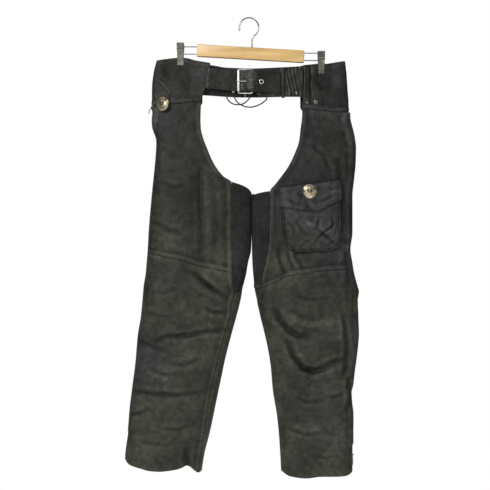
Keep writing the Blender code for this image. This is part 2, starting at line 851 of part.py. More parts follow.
def inner_front_edge(leg, tables):
    """The front leather's inner edge: the opening, the stretch panel's seam, the inseam."""
    curve = through(tables["front_edge"])

    def at(drop):
        seam = leg.front(curve(drop), drop)
        if "inseam" not in tables:
            return seam
        way = tables["inseam"]
        behind = leg.around(math.pi + 0.0 * drop, drop, way["behind"])
        return seam + (behind - seam) * ease((drop - way["from"]) / way["over"])

    return tabled(at)


def inner_back_edge(leg, tables):
    """The back leather's inner edge: the seat, the stretch seam, round the fold, the inseam."""
    front, curve = inner_front_edge(leg, tables), through(tables["back_edge"])
    crossing, tip = tables["tip"]["crossing"], tables["tip"]["tip"]

    def at(drop):
        back = leg.back(curve(np.minimum(drop, crossing - 6)), drop)
        seam = front(drop) - 2 * math.pi
        turn = -math.pi
        upper = turn + (back - turn) * ease((crossing - drop) / 14)
        lower = turn + (seam - turn) * ease((drop - crossing) / (tip - crossing))
        return np.where(drop < crossing, upper, lower)

    return tabled(at)


def rows_of(first, stations):
    """Rows at a region's stations, as places on the leg."""
    low, high = stations[0], stations[-1]
    return [first + (station - low) / (high - low) for station in stations]


YOKE_ROWS = rows_of(0, (100, 122, 145, 170, 195, 222))
THIGH_STATIONS = (222, 250, 280, 312, 344, 368, 388, 406, 432, 470, 510, 548, 586, 622)
SHIN_STATIONS = (620, 634, 650, 668, 692, 720, 750, 782, 814, 850, 892, 944, 1010, 1097, 1150)
THIGH_ROWS = rows_of(1, THIGH_STATIONS)
SHIN_ROWS = rows_of(2, SHIN_STATIONS)
FRONT_COLUMNS = 10
BACK_COLUMNS = 8


def rib_lift(columns):
    """The stretch panel's outer face: a crest and a valley for each rib."""

    def lift(share, drop):
        crest = np.round(share * (columns - 1)) % 2
        return STRETCH_WALL + RIB_RISE * crest

    return lift


def make_leg(word, leg, tables, side):
    front_inner = inner_front_edge(leg, tables)
    back_inner = inner_back_edge(leg, tables)
    zip_front = round_from_fold(leg, side["zip"] + ZIP_HALF)
    zip_back = round_from_fold(leg, side["zip"] - ZIP_HALF)
    sheet = (0.0, LEATHER)
    front_columns = columns_between(zip_front, front_inner, FRONT_COLUMNS)
    back_columns = columns_between(back_inner, zip_back, BACK_COLUMNS)
    panel(leg, f"{word}_thigh_front", front_columns, THIGH_ROWS, sheet)
    panel(leg, f"{word}_shin_front", front_columns, SHIN_ROWS, sheet)
    panel(leg, f"{word}_thigh_back", back_columns, THIGH_ROWS, sheet)
    panel(leg, f"{word}_calf_back", back_columns, SHIN_ROWS, sheet)
    zip_columns = [
        round_from_fold(leg, side["zip"] + reach)
        for reach in (-ZIP_HALF, -TEETH_HALF, TEETH_HALF, ZIP_HALF)
    ]
    # The yoke's columns meet those of the pieces below it.
    lower = [*back_columns, zip_columns[1], zip_columns[2], *front_columns]
    shares = []
    for column in lower:
        theta, drop = spots(leg, column, [1.0], 0.0)
        start, end = back_inner(drop), front_inner(drop)
        shares.append(float((theta[0] - start[0]) / (end[0] - start[0])))
    yoke_columns = [between(back_inner, front_inner, share) for share in shares]
    panel(leg, f"{word}_yoke", yoke_columns, YOKE_ROWS, sheet)
    make_stretch(word, leg, tables, front_inner, back_inner)
    make_side(word, leg, side, zip_columns)


def make_stretch(word, leg, tables, front_inner, back_inner):
    """The ribbed panel between the opening and the knee, round the inner fold."""
    count = 2 * round(tables["stretch_width"] / RIB_PITCH)
    columns = columns_between(front_inner, lambda drop: back_inner(drop) + 2 * math.pi, count)
    top = through(tables["stretch_top"])
    end = tables["tip"]["tip"] - 8.0
    fold = np.array([math.pi])
    rows = [top, lambda share: top(share) * 0.45 + 0.55 * 474.0]
    for place in THIGH_ROWS + SHIN_ROWS[1:]:
        if 474.0 < leg.level(np.array([place]), fold)[0] < end - 7.0:
            rows.append(place)
    rows.append(lambda share: end + 0 * share)
    lifts = (0.0, rib_lift(count + 1))
    panel(leg, f"{word}_stretch_panel", columns, rows, lifts, "stretch", (0.3, 0.7), True)


def make_side(word, leg, side, zip_columns):
    """The zip on the outer side, its flap, its slider and its pull."""
    outer = np.array([0.0])
    top = float(leg.level(np.array([1.0]), outer)[0])
    # The teeth end at the last row above the hem, and the slider stands just below them.
    teeth_end = SHIN_ROWS[-2]
    rows = [*THIGH_ROWS, *SHIN_ROWS[1:-1], (teeth_end, 1.0), 3.0]
    raised = len(rows) - 3
    middle = round_from_fold(leg, side["zip"])
    slider = float(spots(leg, middle, [teeth_end], 0.0)[1][0]) + TEETH_ABOVE_SLIDER

    def tape(share, drop):
        height = np.full(share.shape, TAPE)
        height[: raised + 1, 1:3] = TEETH_RISE
        return height

    panel(leg, f"{word}_zip", zip_columns, rows, (0.0, tape), "zip_tape")
    lean = through(FLAP_LEAN) if side["flap_front"] < 0 else straight(((0, 0), (1, 0)))
    round_end = 14.0

    def front_reach(drop):
        corner = ease((drop - top - 2.0) / round_end)
        return side["flap_front"] + lean(drop) - 9.0 * (1 - corner)

    fixed = side["flap_columns"]
    flap_columns = [round_from_fold(leg, reach) for reach in fixed]
    for part in spaced(4)[1:]:
        flap_columns.append(
            round_from_fold(
                leg, lambda drop, part=part: fixed[-1] * (1 - part) + front_reach(drop) * part
            )
        )
    flap_end = 2 + FLAP_END
    bottom = float(leg.level(np.array([flap_end]), outer)[0])
    rows = [(1.0, 2.0), (1.0, 9.0), (1.0, 17.0)]
    for place in THIGH_ROWS + SHIN_ROWS[1:]:
        if top + 28.0 < leg.level(np.array([place]), outer)[0] < bottom - 9.0:
            rows.append(place)
    rows.append(flap_end)

    def lift(height):
        return lambda share, drop: height + FLAP_SWELL * (1 - ease((drop - 325) / 40))

    panel(leg, f"{word}_zip_flap", flap_columns, rows, (lift(FLAP_LOW), lift(FLAP_HIGH)))
    theta = float(leg.around(np.zeros(1), np.full(1, slider), side["zip"])[0])
    seat = leg.frame(theta, slider, TAPE + 0.4, level=True)
    make_slider(f"{word}_zip_slider", seat)
    make_pull(f"{word}_zip_pull", seat)


def box(made, low, high):
    """A box by its two corners, in millimetres."""
    size = [b - a for a, b in zip(low, high)]
    middle = [(a + b) / 2 * MM for a, b in zip(low, high)]
    shape = Matrix.Translation(middle) @ Matrix.Diagonal((*[s * MM for s in size], 1))
    return bmesh.ops.create_cube(made, size=1.0, matrix=shape)["verts"]


def join(name, makers, seat, finish, kind="UNION"):
    """One solid from simple ones: the first, with the others joined to it or cut from it."""
    main, *others = [
        place(f"{name}_{k}" if k else name, made, finish, smooth=False)
        for k, made in enumerate(makers)
    ]
    for other in others:
        tool = main.modifiers.new(other.name, "BOOLEAN")
        tool.object = other
        tool.operation = kind
        tool.solver = "EXACT"
    graph = bpy.context.evaluated_depsgraph_get()
    joined = bpy.data.meshes.new_from_object(main.evaluated_get(graph))
    main.modifiers.clear()
    for other in others:
        bpy.data.objects.remove(other, do_unlink=True)
    joined.transform(seat)
    main.data = joined
    joined.shade_smooth()
    joined.set_sharp_from_angle(angle=math.radians(35))
    return main


SLIDER = {"half_wide": 5.5, "half_tall": 7.0, "thick": 2.4, "ear": (3.0, 4.6), "pin": 5.0}


def rod(made, radius, start, end, sides=12):
    """A cylinder between two points, in millimetres."""
    start, end = Vector(start), Vector(end)
    run = end - start
    turn = run.to_track_quat("Z", "Y").to_matrix().to_4x4()
    here = Matrix.Translation((start + end) / 2 * MM) @ turn
    return bmesh.ops.create_cone(
        made,
        cap_ends=True,
        segments=sides,
        radius1=radius * MM,
        radius2=radius * MM,
        depth=run.length * MM,
        matrix=here,
    )["verts"]


def make_slider(name, seat):
    s = SLIDER
    near, far = s["ear"]
    body, right_ear, left_ear, pin = (bmesh.new() for _ in range(4))
    box(body, (-s["half_wide"], -s["half_tall"], 0), (s["half_wide"], s["half_tall"], s["thick"]))
    bmesh.ops.bevel(body, geom=body.edges[:], offset=0.8 * MM, segments=1, affect="EDGES")
    box(right_ear, (near, -2.0, s["thick"] - 0.5), (far, 2.0, s["pin"] + 1.6))
    box(left_ear, (-far, -2.0, s["thick"] - 0.5), (-near, 2.0, s["pin"] + 1.6))
    rod(pin, 0.7, (-near - 0.5, 0, s["pin"]), (near + 0.5, 0, s["pin"]), 10)
    join(name, (body, right_ear, left_ear, pin), seat, "nickel")


def make_pull(name, seat):
    """The pull hangs from the slider's pin: a ring round the pin and a tab that widens."""
    pin = SLIDER["pin"]
    eye, tab, hole = bmesh.new(), bmesh.new(), bmesh.new()
    rod(eye, 2.3, (-2.3, 0, pin), (2.3, 0, pin), 16)
    outline = ((-2.2, -1.2), (2.2, -1.2), (2.2, -4.6), (3.6, -8.0), (3.6, -26.0), (2.0, -28.5))
    outline = (*outline, (-2.0, -28.5), (-3.6, -26.0), (-3.6, -8.0), (-2.2, -4.6))
    verts = [tab.verts.new((x * MM, y * MM, (pin - 0.7) * MM)) for x, y in outline]
    face = tab.faces.new(verts)
    top = bmesh.ops.extrude_face_region(tab, geom=[face])["geom"]
    raised = [part for part in top if isinstance(part, bmesh.types.BMVert)]
    bmesh.ops.translate(tab, verts=raised, vec=(0, 0, 1.4 * MM))
    whole = join(name, (eye, tab), Matrix.Identity(4), "nickel")
    rod(hole, 1.15, (-4, 0, pin), (4, 0, pin), 16)
    cutter = place(f"{name}_hole", hole, "nickel", smooth=False)
    tool = whole.modifiers.new("hole", "BOOLEAN")
    tool.object = cutter
    tool.operation = "DIFFERENCE"
    tool.solver = "EXACT"
    graph = bpy.context.evaluated_depsgraph_get()
    cut = bpy.data.meshes.new_from_object(whole.evaluated_get(graph))
    whole.modifiers.clear()
    bpy.data.objects.remove(cutter, do_unlink=True)
    cut.transform(seat)
    whole.data = cut


def make_pocket():
    """A patch pocket on the left thigh: an open-topped bag, and a flap sewn on above it."""
    leg = LEFT
    floor = LEATHER + 1.0
    rim = floor + POCKET_DEPTH
    left, right = through(POCKET_LEFT), through(POCKET_RIGHT)
    inset = POCKET_WALL
    fine = spaced(9)
    c = np.concatenate([[0], fine, [1]])
    r = np.concatenate([fine, [1]])
    # The outer skin: the edge on the leather, the gusset's top, then the face.
    top, bottom = straight(POCKET_TOP), straight(POCKET_BOTTOM)

    def grid(shrink, lift_face, lift_edge):
        points = np.zeros((len(r), len(c), 3))
        for i in range(len(r)):
            for j in range(len(c)):
                foot = j in (0, len(c) - 1) or i == len(r) - 1
                lean = 0.0 if foot else 1.2
                u_left, u_right = 80.0, 230.5
                guess = u_left + c[j] * (u_right - u_left)
                drop = top(guess) + r[i] * (bottom(guess) - lean - shrink - top(guess))
                a, b = left(drop) + lean + shrink, right(drop) - lean - shrink
                u = a + c[j] * (b - a)
                lift = lift_edge if foot else lift_face
                points[i, j] = leg.skin(leg.front(u, drop), drop, np.float64(lift))
        return points

    low = grid(inset, rim - POCKET_WALL, floor)
    high = grid(0.0, rim, floor)
    wall("left_pocket", low, high, "leather")
    left_side = straight(((400, 78.6), (500, 80.5)))
    right_side = straight(((400, 229.5), (500, 234.0)))
    hinge = rim + POCKET_FLAP_GAP
    top_line, tip_line = straight(POCKET_FLAP_TOP), straight(POCKET_FLAP_TIP)
    shares = (0, 0.1, 0.2, 0.3, 0.41, 0.5, 0.6, 0.7, 0.8, 0.9, 1)

    def along(share):
        return 79.0 + np.interp(share, spaced(10), shares) * 151.0

    def lift(extra):
        def at(share, drop):
            first = top_line(along(1 - share))
            return floor + (hinge - floor) * ease((drop - first) / 13) + extra

        return at

    def column(share):
        return lambda drop: leg.front(
            left_side(drop) * (1 - share) + right_side(drop) * share, drop
        )

    columns = [column(share) for share in reversed(shares)]
    rows = [
        lambda share, down=down: top_line(along(1 - share)) * (1 - down)
        + tip_line(along(1 - share)) * down
        for down in (0, 0.1, 0.2, 0.3, 0.5, 0.75, 1)
    ]
    panel(leg, "left_pocket_flap", columns, rows, (lift(0.0), lift(POCKET_FLAP_WALL)))
    return hinge + POCKET_FLAP_WALL


def make_concho(name, seat):
    """A domed round plate with two slots for its thong."""
    made = bmesh.new()
    outer = ((0, 5.0), (7, 4.7), (12, 3.9), (16, 2.2), (CONCHO_RADIUS, 0.7), (CONCHO_RADIUS, 0.0))
    inner = ((16.6, 0.0), (14.5, 1.1), (10.5, 2.5), (6, 3.3), (0, 3.6))
    profile = [Vector((r * MM, 0, h * MM)) for r, h in outer + inner]
    verts = [made.verts.new(point) for point in profile]
    edges = [made.edges.new(pair) for pair in zip(verts, verts[1:])]
    bmesh.ops.spin(
        made,
        geom=verts + edges,
        cent=(0, 0, 0),
        axis=(0, 0, 1),
        angle=2 * math.pi,
        steps=16,
        use_merge=True,
    )
    bmesh.ops.remove_doubles(made, verts=made.verts, dist=0.01 * MM)
    slots = []
    for across in (-CONCHO_SLOT["apart"] / 2, CONCHO_SLOT["apart"] / 2):
        slot = bmesh.new()
        half, tall = CONCHO_SLOT["wide"] / 2, CONCHO_SLOT["tall"] / 2
        box(slot, (across - half, -tall + 1.0, 1.0), (across + half, tall + 1.0, 8.0))
        slots.append(slot)
    join(name, (made, *slots), seat, "concho", kind="DIFFERENCE")


def thong(name, leg, table, seat):
    """A thong through its concho's slots: both ends are free."""
    back = seat.inverted()
    points = []
    for where, *spot in table:
        if where == "leg":
            u, drop, lift = spot
            here = back @ Vector(leg.skin(leg.front(u, drop), drop, lift))
            points.append(here / MM)
        else:
            points.append(Vector(spot))
    return cord(name, points, THONG, "lace", seat)


def smooth_route(points, step):
    """Points along a smooth curve through a route's own points."""
    p = np.array(points, float)
    p = np.vstack([2 * p[0] - p[1], p, 2 * p[-1] - p[-2]])
    fine = []
    for a, b, c, d in zip(p, p[1:], p[2:], p[3:]):
        for t in np.linspace(0, 1, 12, endpoint=False):
            fine.append(
                0.5
                * (
                    2 * b
                    + (c - a) * t
                    + (2 * a - 5 * b + 4 * c - d) * t * t
                    + (3 * b - a - 3 * c + d) * t**3
                )
            )
    fine = np.array([*fine, p[-2]])
    along = np.concatenate([[0], np.cumsum(np.linalg.norm(np.diff(fine, axis=0), axis=1))])
    count = max(2, math.ceil(along[-1] / step)) + 1
    at = np.linspace(0, along[-1], count)
    return np.stack([np.interp(at, along, fine[:, k]) for k in range(3)], axis=1)


def cord(name, points, diameter, finish, seat=None, resolution=2):
    """A round cord or wire along points, in millimetres."""
    curve = bpy.data.curves.new(name, "CURVE")
    curve.dimensions = "3D"
    curve.bevel_depth = diameter / 2 * MM
    curve.bevel_resolution = resolution
    curve.use_fill_caps = True
    line = curve.splines.new("POLY")
    line.points.add(len(points) - 1)
    for spot, point in zip(line.points, points):
        here = Vector(point) * MM
        spot.co = (*(seat @ here if seat else here), 1.0)
    thing = bpy.data.objects.new(name, curve)
    bpy.context.collection.objects.link(thing)
    curve.materials.append(material(finish))
    return thing


def strap(name, path, thickness, finish, rows=(0.0, 1.0), cut=(), lean=(0.0, 0.0)):
    """A strap that follows a path seen from above: each path row has x, y, top z and bottom z."""
    spots = np.array(path, float)
    run = np.gradient(spots[:, :2], axis=0)
    run /= np.linalg.norm(run, axis=1, keepdims=True)
    normal = np.stack([run[:, 1], -run[:, 0]], axis=1)
    share = np.asarray(rows, float)[:, None]
    z = spots[:, 2][None] + share * (spots[:, 3] - spots[:, 2])[None]
    shift = np.zeros_like(z)
    shift[:, 0] = lean[0] * share[:, 0]
    shift[:, -1] = lean[1] * share[:, 0]
    sides = []
    for way in (-0.5, 0.5):
        moved = spots[:, :2] + way * thickness * normal
        x = moved[:, 0][None] + shift
        y = np.repeat(moved[:, 1][None], len(share), axis=0)
        sides.append(np.stack([x, y, z], axis=-1) * MM)
    return wall(name, sides[0], sides[1], finish, cut)


def make_belt():
    tall = TONGUE["tall"]
    path = [(x, y, z + tall / 2, z - tall / 2) for x, y, z in TONGUE_PATH]
    xs = [row[0] for row in TONGUE_PATH]
    middle = 0.5
    slot, hole = PRONG_SLOT["half"] / tall, EYELET["half"] / tall
    rows = (0.0, middle - slot, middle - hole, middle + hole, middle + slot, 1.0)
    cut = {(i, j) for i in (1, 2, 3) for j in (xs.index(-16.0), xs.index(-9.0))}
    cut.add((2, xs.index(27.9)))
    strap("belt_tongue", path, TONGUE["wall"], "belt", rows, cut, lean=(-7.0, 0.0))
    fold = [row[0] for row in BASE_PATH].index(5.8)
    slot = {(1, fold - 1), (1, fold), (1, fold + 1)}
    strap("belt_base", BASE_PATH, BASE["wall"], "belt", (0.0, 0.43, 0.57, 1.0), slot)
    k = KEEPER
    ring, gap = bmesh.new(), bmesh.new()
    half = k["width"] / 2
    box(ring, (k["x"] - half, k["front"], k["bottom"]), (k["x"] + half, k["back"], k["top"]))
    low = (k["x"] - half - 1, k["front"] + k["wall"], k["bottom"] + k["wall"])
    high = (k["x"] + half + 1, k["back"] - k["wall"] * 0.3, k["top"] - k["wall"])
    box(gap, low, high)
    join("belt_keeper", (ring, gap), Matrix.Identity(4), "belt", kind="DIFFERENCE")
    make_buckle()
    eye = Matrix.Translation(Vector((EYELET["x"], -24.1, -163.8)) * MM)
    turn = Matrix.Rotation(math.radians(90), 4, "X") @ Matrix.Rotation(math.radians(9.7), 4, "Y")
    washer("belt_eyelet", eye @ turn, (3.3, 6.3), 0.9, "nickel")


def washer(name, seat, radii, thick, finish, sides=16):
    """A flat ring with a rounded face, lying on its seat."""
    inner, outer = radii
    made = bmesh.new()
    profile = ((inner, 0.0), (inner + 0.3, thick), (outer - 0.7, thick), (outer, 0.0))
    rings = []
    for r, h in profile:
        ring = []
        for k in range(sides):
            angle = 2 * math.pi * k / sides
            ring.append(
                made.verts.new((r * math.cos(angle) * MM, r * math.sin(angle) * MM, h * MM))
            )
        rings.append(ring)
    for a, b in zip(rings, rings[1:] + rings[:1]):
        for k in range(sides):
            made.faces.new((a[k], a[(k + 1) % sides], b[(k + 1) % sides], b[k]))
    bmesh.ops.transform(made, matrix=seat, verts=made.verts)
    return place(name, made, finish)


def button(name, seat, radius, rise, finish, sides=16):
    """A round cap: a rivet's head or a snap's cap."""
    made = bmesh.new()
    levels = ((1.0, 0.0), (1.0, 0.45), (0.8, 0.8), (0.4, 1.0))
    rings = [
        [
            made.verts.new(
                (
                    radius * share * math.cos(2 * math.pi * k / sides) * MM,
                    radius * share * math.sin(2 * math.pi * k / sides) * MM,
                    rise * up * MM,
                )
            )
            for k in range(sides)
        ]
        for share, up in levels
    ]
    for a, b in zip(rings, rings[1:]):
        for k in range(sides):
            made.faces.new((a[k], a[(k + 1) % sides], b[(k + 1) % sides], b[k]))
    made.faces.new(rings[0][::-1])
    made.faces.new(rings[-1])
    bmesh.ops.transform(made, matrix=seat, verts=made.verts)
    return place(name, made, finish)


def make_buckle():
    """A single-prong frame: the prong turns on the heel bar and rests on the far bar."""
    f = FRAME
    half_x, half_z = f["wide"] / 2 - f["wire"], f["tall"] / 2 - f["wire"]
    corner = f["round"]
    centres = ((1, 1), (-1, 1), (-1, -1), (1, -1))
    made = bmesh.new()
    rings = []
    for number, (sx, sz) in enumerate(centres):
        for k in range(4):
            angle = math.pi / 2 * (number + k / 3)
            x = sx * (half_x - corner) + corner * math.cos(angle)
            z = sz * (half_z - corner) + corner * math.sin(angle)
            out = Vector((math.cos(angle), 0, math.sin(angle)))
            ring = []
            for j in range(8):
                turn = 2 * math.pi * j / 8
                spot = Vector((f["x"] + x, f["y"], f["z"] + z))
                spot += f["wire"] * (math.cos(turn) * out + math.sin(turn) * Vector((0, 1, 0)))
                ring.append(made.verts.new(spot * MM))
            rings.append(ring)
    for a, b in zip(rings, rings[1:] + rings[:1]):
        for j in range(8):
            made.faces.new((a[j], a[(j + 1) % 8], b[(j + 1) % 8], b[j]))
    place("buckle_frame", made, "nickel")
    heel = f["x"] + half_x
    tip = PRONG["tip"]
    z = f["z"]
    route = ((heel - 2.2, -16.9, z), (1.0, -17.5, z), (-6.0, -18.3, z), (-12.0, -19.0, z))
    route = (*route, (-18.0, -19.7, z), (-24.0, -20.5, z), (tip, -20.8, z))
    cord("buckle_prong", route, 2 * PRONG["radius"], "nickel")


def make_bands():
    """The back waistband in two halves, laced together over a gap."""
    rows_z = BAND_EYELETS["rows"]
    half = BAND_EYELETS["half"]
    for word, path in (("right", RIGHT_BAND_PATH), ("left", LEFT_BAND_PATH)):
        middle = BAND_EYELETS[word]
        path = [row for row in path if abs(row[0] - middle) > half + 0.5]
        path += [(middle + way * half, 14.0, -124.7, -200.0) for way in (-1, 1)]
        path.sort()
        xs = [row[0] for row in path]
        top, bottom = -124.7, -200.0
        shares = [0.0]
        for z in rows_z:
            shares += [(top - z - half) / (top - bottom), (top - z + half) / (top - bottom)]
        shares.append(1.0)
        cut = {(i, xs.index(middle - half)) for i in (1, 3, 5)}
        strap(f"{word}_back_band", path, BACK_BAND["wall"], "belt", shares, cut)
        for number, z in enumerate(rows_z, 1):
            seat = Matrix.Translation(Vector((middle, 14.0 + BACK_BAND["wall"] / 2 + 0.3, z)) * MM)
            seat = seat @ Matrix.Rotation(math.radians(-90), 4, "X")
            washer(f"{word}_lace_eyelet_{number}", seat, (3.2, 5.6), 0.8, "nickel", 12)
    cord("back_lace", BACK_LACE, LACE, "lace")


def make_left_waist():
    """The belt loop, the hanging tab with its snap, and the two rivets on the left."""
    leg = LEFT
    low = LEATHER + 0.4

    def loop_lift(extra):
        def at(share, drop):
            part = (drop - LOOP["top"]) / (LOOP["bottom"] - LOOP["top"])
            return low + 3.0 * np.sin(math.pi * np.clip(part, 0, 1)) ** 0.5 + extra

        return at

    def at_u(curve):
        return lambda drop: leg.front(curve(drop), drop)

    x0 = straight(((0, LOOP["x0"] + 2.6), (1, LOOP["x0"] + 2.6)))
    x1 = straight(((0, LOOP["x1"]), (1, LOOP["x1"])))
    rows = [
        lambda share, down=down: LOOP["top"] + down * (LOOP["bottom"] - LOOP["top"])
        for down in (0, 0.03, 0.08, 0.2, 0.4, 0.6, 0.8, 0.92, 0.97, 1)
    ]
    columns = columns_between(at_u(x1), at_u(x0), 2)
    panel(leg, "belt_loop", columns, rows, (loop_lift(0.0), loop_lift(2.0)), "belt")
    left, right = through([(d, a) for d, a, _ in TAB]), through([(d, b) for d, _, b in TAB])
    rows = [
        lambda share, down=down: 119.5
        + down * (TAB_ROUND["drop"] - 10.0 * (2 * share - 1) ** 4 - 119.5)
        for down in (0, 0.15, 0.3, 0.46, 0.62, 0.78, 0.9, 1)
    ]
    columns = columns_between(at_u(right), at_u(left), 4)
    panel(leg, "waist_tab", columns, rows, (low + 1.2, low + 3.0), "belt")
    seat = leg.seat(SNAP["u"], SNAP["drop"], low + 3.0 + 0.35)
    button("tab_snap", seat, SNAP["radius"], 1.8, "steel")
    u, drop = RIVETS["loop"]
    seat = leg.seat(u, drop, low + 2.0 + 2.0)
    button("loop_rivet", seat, 3.4, 1.2, "rivet", 12)
    x, z = RIVETS["belt"]
    seat = Matrix.Translation(Vector((x, -12.9 - BASE["wall"] / 2 - 0.35, z)) * MM)
    seat = seat @ Matrix.Rotation(math.radians(90), 4, "X")
    button("belt_rivet", seat, 3.4, 1.2, "rivet", 12)


def make_hanger():
    b = BAR
    made = bmesh.new()
    corner = (b["long"] / 2, b["thick"] / 2, b["tall"] / 2)
    box(made, [-size for size in corner], corner)
    bmesh.ops.bevel(made, geom=made.edges[:], offset=b["round"] * MM, segments=2, affect="EDGES")
    place_bar = Matrix.Translation(Vector((b["x"], 0, b["z"])) * MM)
    turn = Matrix.Rotation(math.radians(b["tilt"]), 4, "Y")
    bmesh.ops.transform(made, matrix=place_bar @ turn, verts=made.verts)
    place("hanger_bar", made, "wood")
    h = HOOK
    centre = -h["radius"] + h["wire"]
    arc = []
    for k in range(17):
        angle = math.radians(186 - k * 14.2)
        arc.append((h["radius"] * math.cos(angle), 0, centre + h["radius"] * math.sin(angle)))
    low = centre - h["radius"]
    neck = ((h["stem_x"] + 2.4, 0, low - 1.2), (h["stem_x"], 0, low - 8.0))
    stem_end = bar_top(h["stem_x"]) + 0.4
    run = [(h["stem_x"], 0, float(z)) for z in np.linspace(low - 14, stem_end, 3)]
    route = smooth_route([*arc, *neck, *run], 7.0)
    cord("hanger_hook", route, 2 * h["wire"], "chrome", resolution=2)
    ball = bmesh.new()
    bmesh.ops.create_uvsphere(ball, u_segments=10, v_segments=6, radius=2.8 * MM)
    tip = Vector(arc[0]) + Vector((0, 0, -3.2))
    bmesh.ops.translate(ball, verts=ball.verts, vec=tip * MM)
    place("hook_tip", ball, "chrome")
    for word, way in (("right", -1), ("left", 1)):
        make_clip(word, way)


def bar_top(x):
    """The height of the bar's upper face at x."""
    tilt = math.radians(BAR["tilt"])
    return BAR["z"] - (x - BAR["x"]) * math.tan(tilt) + BAR["tall"] / 2 / math.cos(tilt)


def make_clip(word, way):
    """A sliding clip: two sprung jaws, and the wire bow that runs into the bar."""
    u = CLIP[word]
    top = CLIP["top"][word]
    half = CLIP["half_width"]
    for name, facing in (("front", -1), ("back", 1)):
        made = bmesh.new()
        profile = [(gap, -top - down) for down, gap in JAW]
        profile += [(gap + JAW_WALL, -top - down) for down, gap in reversed(JAW)]
        ends = []
        for x in (way * u - half, way * u + half):
            ends.append([made.verts.new((x * MM, facing * y * MM, z * MM)) for y, z in profile])
        count = len(profile)
        for k in range(count):
            k2 = (k + 1) % count
            made.faces.new((ends[0][k], ends[0][k2], ends[1][k2], ends[1][k]))
        made.faces.new(ends[0][::-1])
        made.faces.new(ends[1])
        place(f"{word}_clip_{name}", made, "steel")
    spring = CLIP_SPRING
    z = -top - spring["down"]
    made = bmesh.new()
    near, far = way * (u - 3.4), way * (u + half - 1.0)
    rod(made, spring["radius"], (near, 0, z), (far, 0, z), 12)
    place(f"{word}_clip_spring", made, "chrome")
    tilt = math.radians(BAR["tilt"])
    end = BAR["long"] / 2 * math.cos(tilt)
    middle = BAR["z"] - way * (end + 0.3) * math.sin(tilt)
    spread = WIRE["spread"] / 2
    upper, lower = middle + spread, middle - spread
    end_high = BAR["x"] + way * (end + 0.4) + spread * math.sin(tilt)
    end_low = BAR["x"] + way * (end + 0.4) - spread * math.sin(tilt)
    far = way * (u - half + 2.2)
    bend = way * (u - half + 4.2)
    route = [(end_high, 0, upper), ((end_high + far) / 2, 0, upper), (far, 0, upper)]
    route += [(bend, 0, upper - 2.4), (bend, 0, (upper + lower) / 2), (bend, 0, lower + 2.4)]
    route += [(far, 0, lower), ((end_low + far) / 2, 0, lower), (end_low, 0, lower)]
    cord(f"{word}_clip_wire", route, 2 * WIRE["radius"], "chrome")


def main():
    clear_scene()
    make_leg(
        "right",
        RIGHT,
        {
            "front_edge": RIGHT_FRONT_EDGE,
            "back_edge": RIGHT_BACK_EDGE,
            "tip": RIGHT_TIP,
            "stretch_top": RIGHT_STRETCH_TOP,
            "stretch_width": 118.0,
        },
        RIGHT_SIDE,
    )
    make_leg(
        "left",
        LEFT,
        {
            "front_edge": LEFT_FRONT_EDGE,
            "back_edge": LEFT_BACK_EDGE,
            "tip": LEFT_TIP,
            "inseam": LEFT_INSEAM,
            "stretch_top": LEFT_STRETCH_TOP,
            "stretch_width": 112.0,
        },
        LEFT_SIDE,
    )
    flap_face = make_pocket()
    seat = LEFT.seat(POCKET_CONCHO["u"], POCKET_CONCHO["drop"], flap_face + 0.7)
    make_concho("pocket_concho", seat)
    thong("pocket_thong", LEFT, POCKET_THONG, seat)
    h = HIP_CONCHO
    turn = Matrix.Rotation(math.radians(-h["turn"]), 4, "Y")
    seat = RIGHT.seat(h["u"], h["drop"], h["lift"]) @ turn
    make_concho("hip_concho", seat)
    thong("hip_thong", RIGHT, HIP_THONG, seat)
    make_belt()
    make_bands()
    make_left_waist()
    make_hanger()


main()
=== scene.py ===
import math

import bmesh
import bpy
import numpy as np
from mathutils import Matrix, Vector


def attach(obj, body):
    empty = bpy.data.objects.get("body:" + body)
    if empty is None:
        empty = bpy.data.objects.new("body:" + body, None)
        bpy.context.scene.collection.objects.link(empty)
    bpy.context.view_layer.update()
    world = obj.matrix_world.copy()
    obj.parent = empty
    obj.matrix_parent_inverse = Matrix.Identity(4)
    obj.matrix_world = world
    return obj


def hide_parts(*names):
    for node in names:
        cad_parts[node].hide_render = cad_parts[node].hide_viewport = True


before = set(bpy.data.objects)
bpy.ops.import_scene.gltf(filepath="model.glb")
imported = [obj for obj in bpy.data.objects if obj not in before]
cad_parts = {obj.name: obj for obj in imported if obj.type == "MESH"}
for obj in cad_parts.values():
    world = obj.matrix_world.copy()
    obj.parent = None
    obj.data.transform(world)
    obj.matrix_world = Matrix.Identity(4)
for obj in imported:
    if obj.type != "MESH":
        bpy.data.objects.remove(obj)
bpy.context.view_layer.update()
print("frame loaded")

mm = 0.001
leather = 1.8

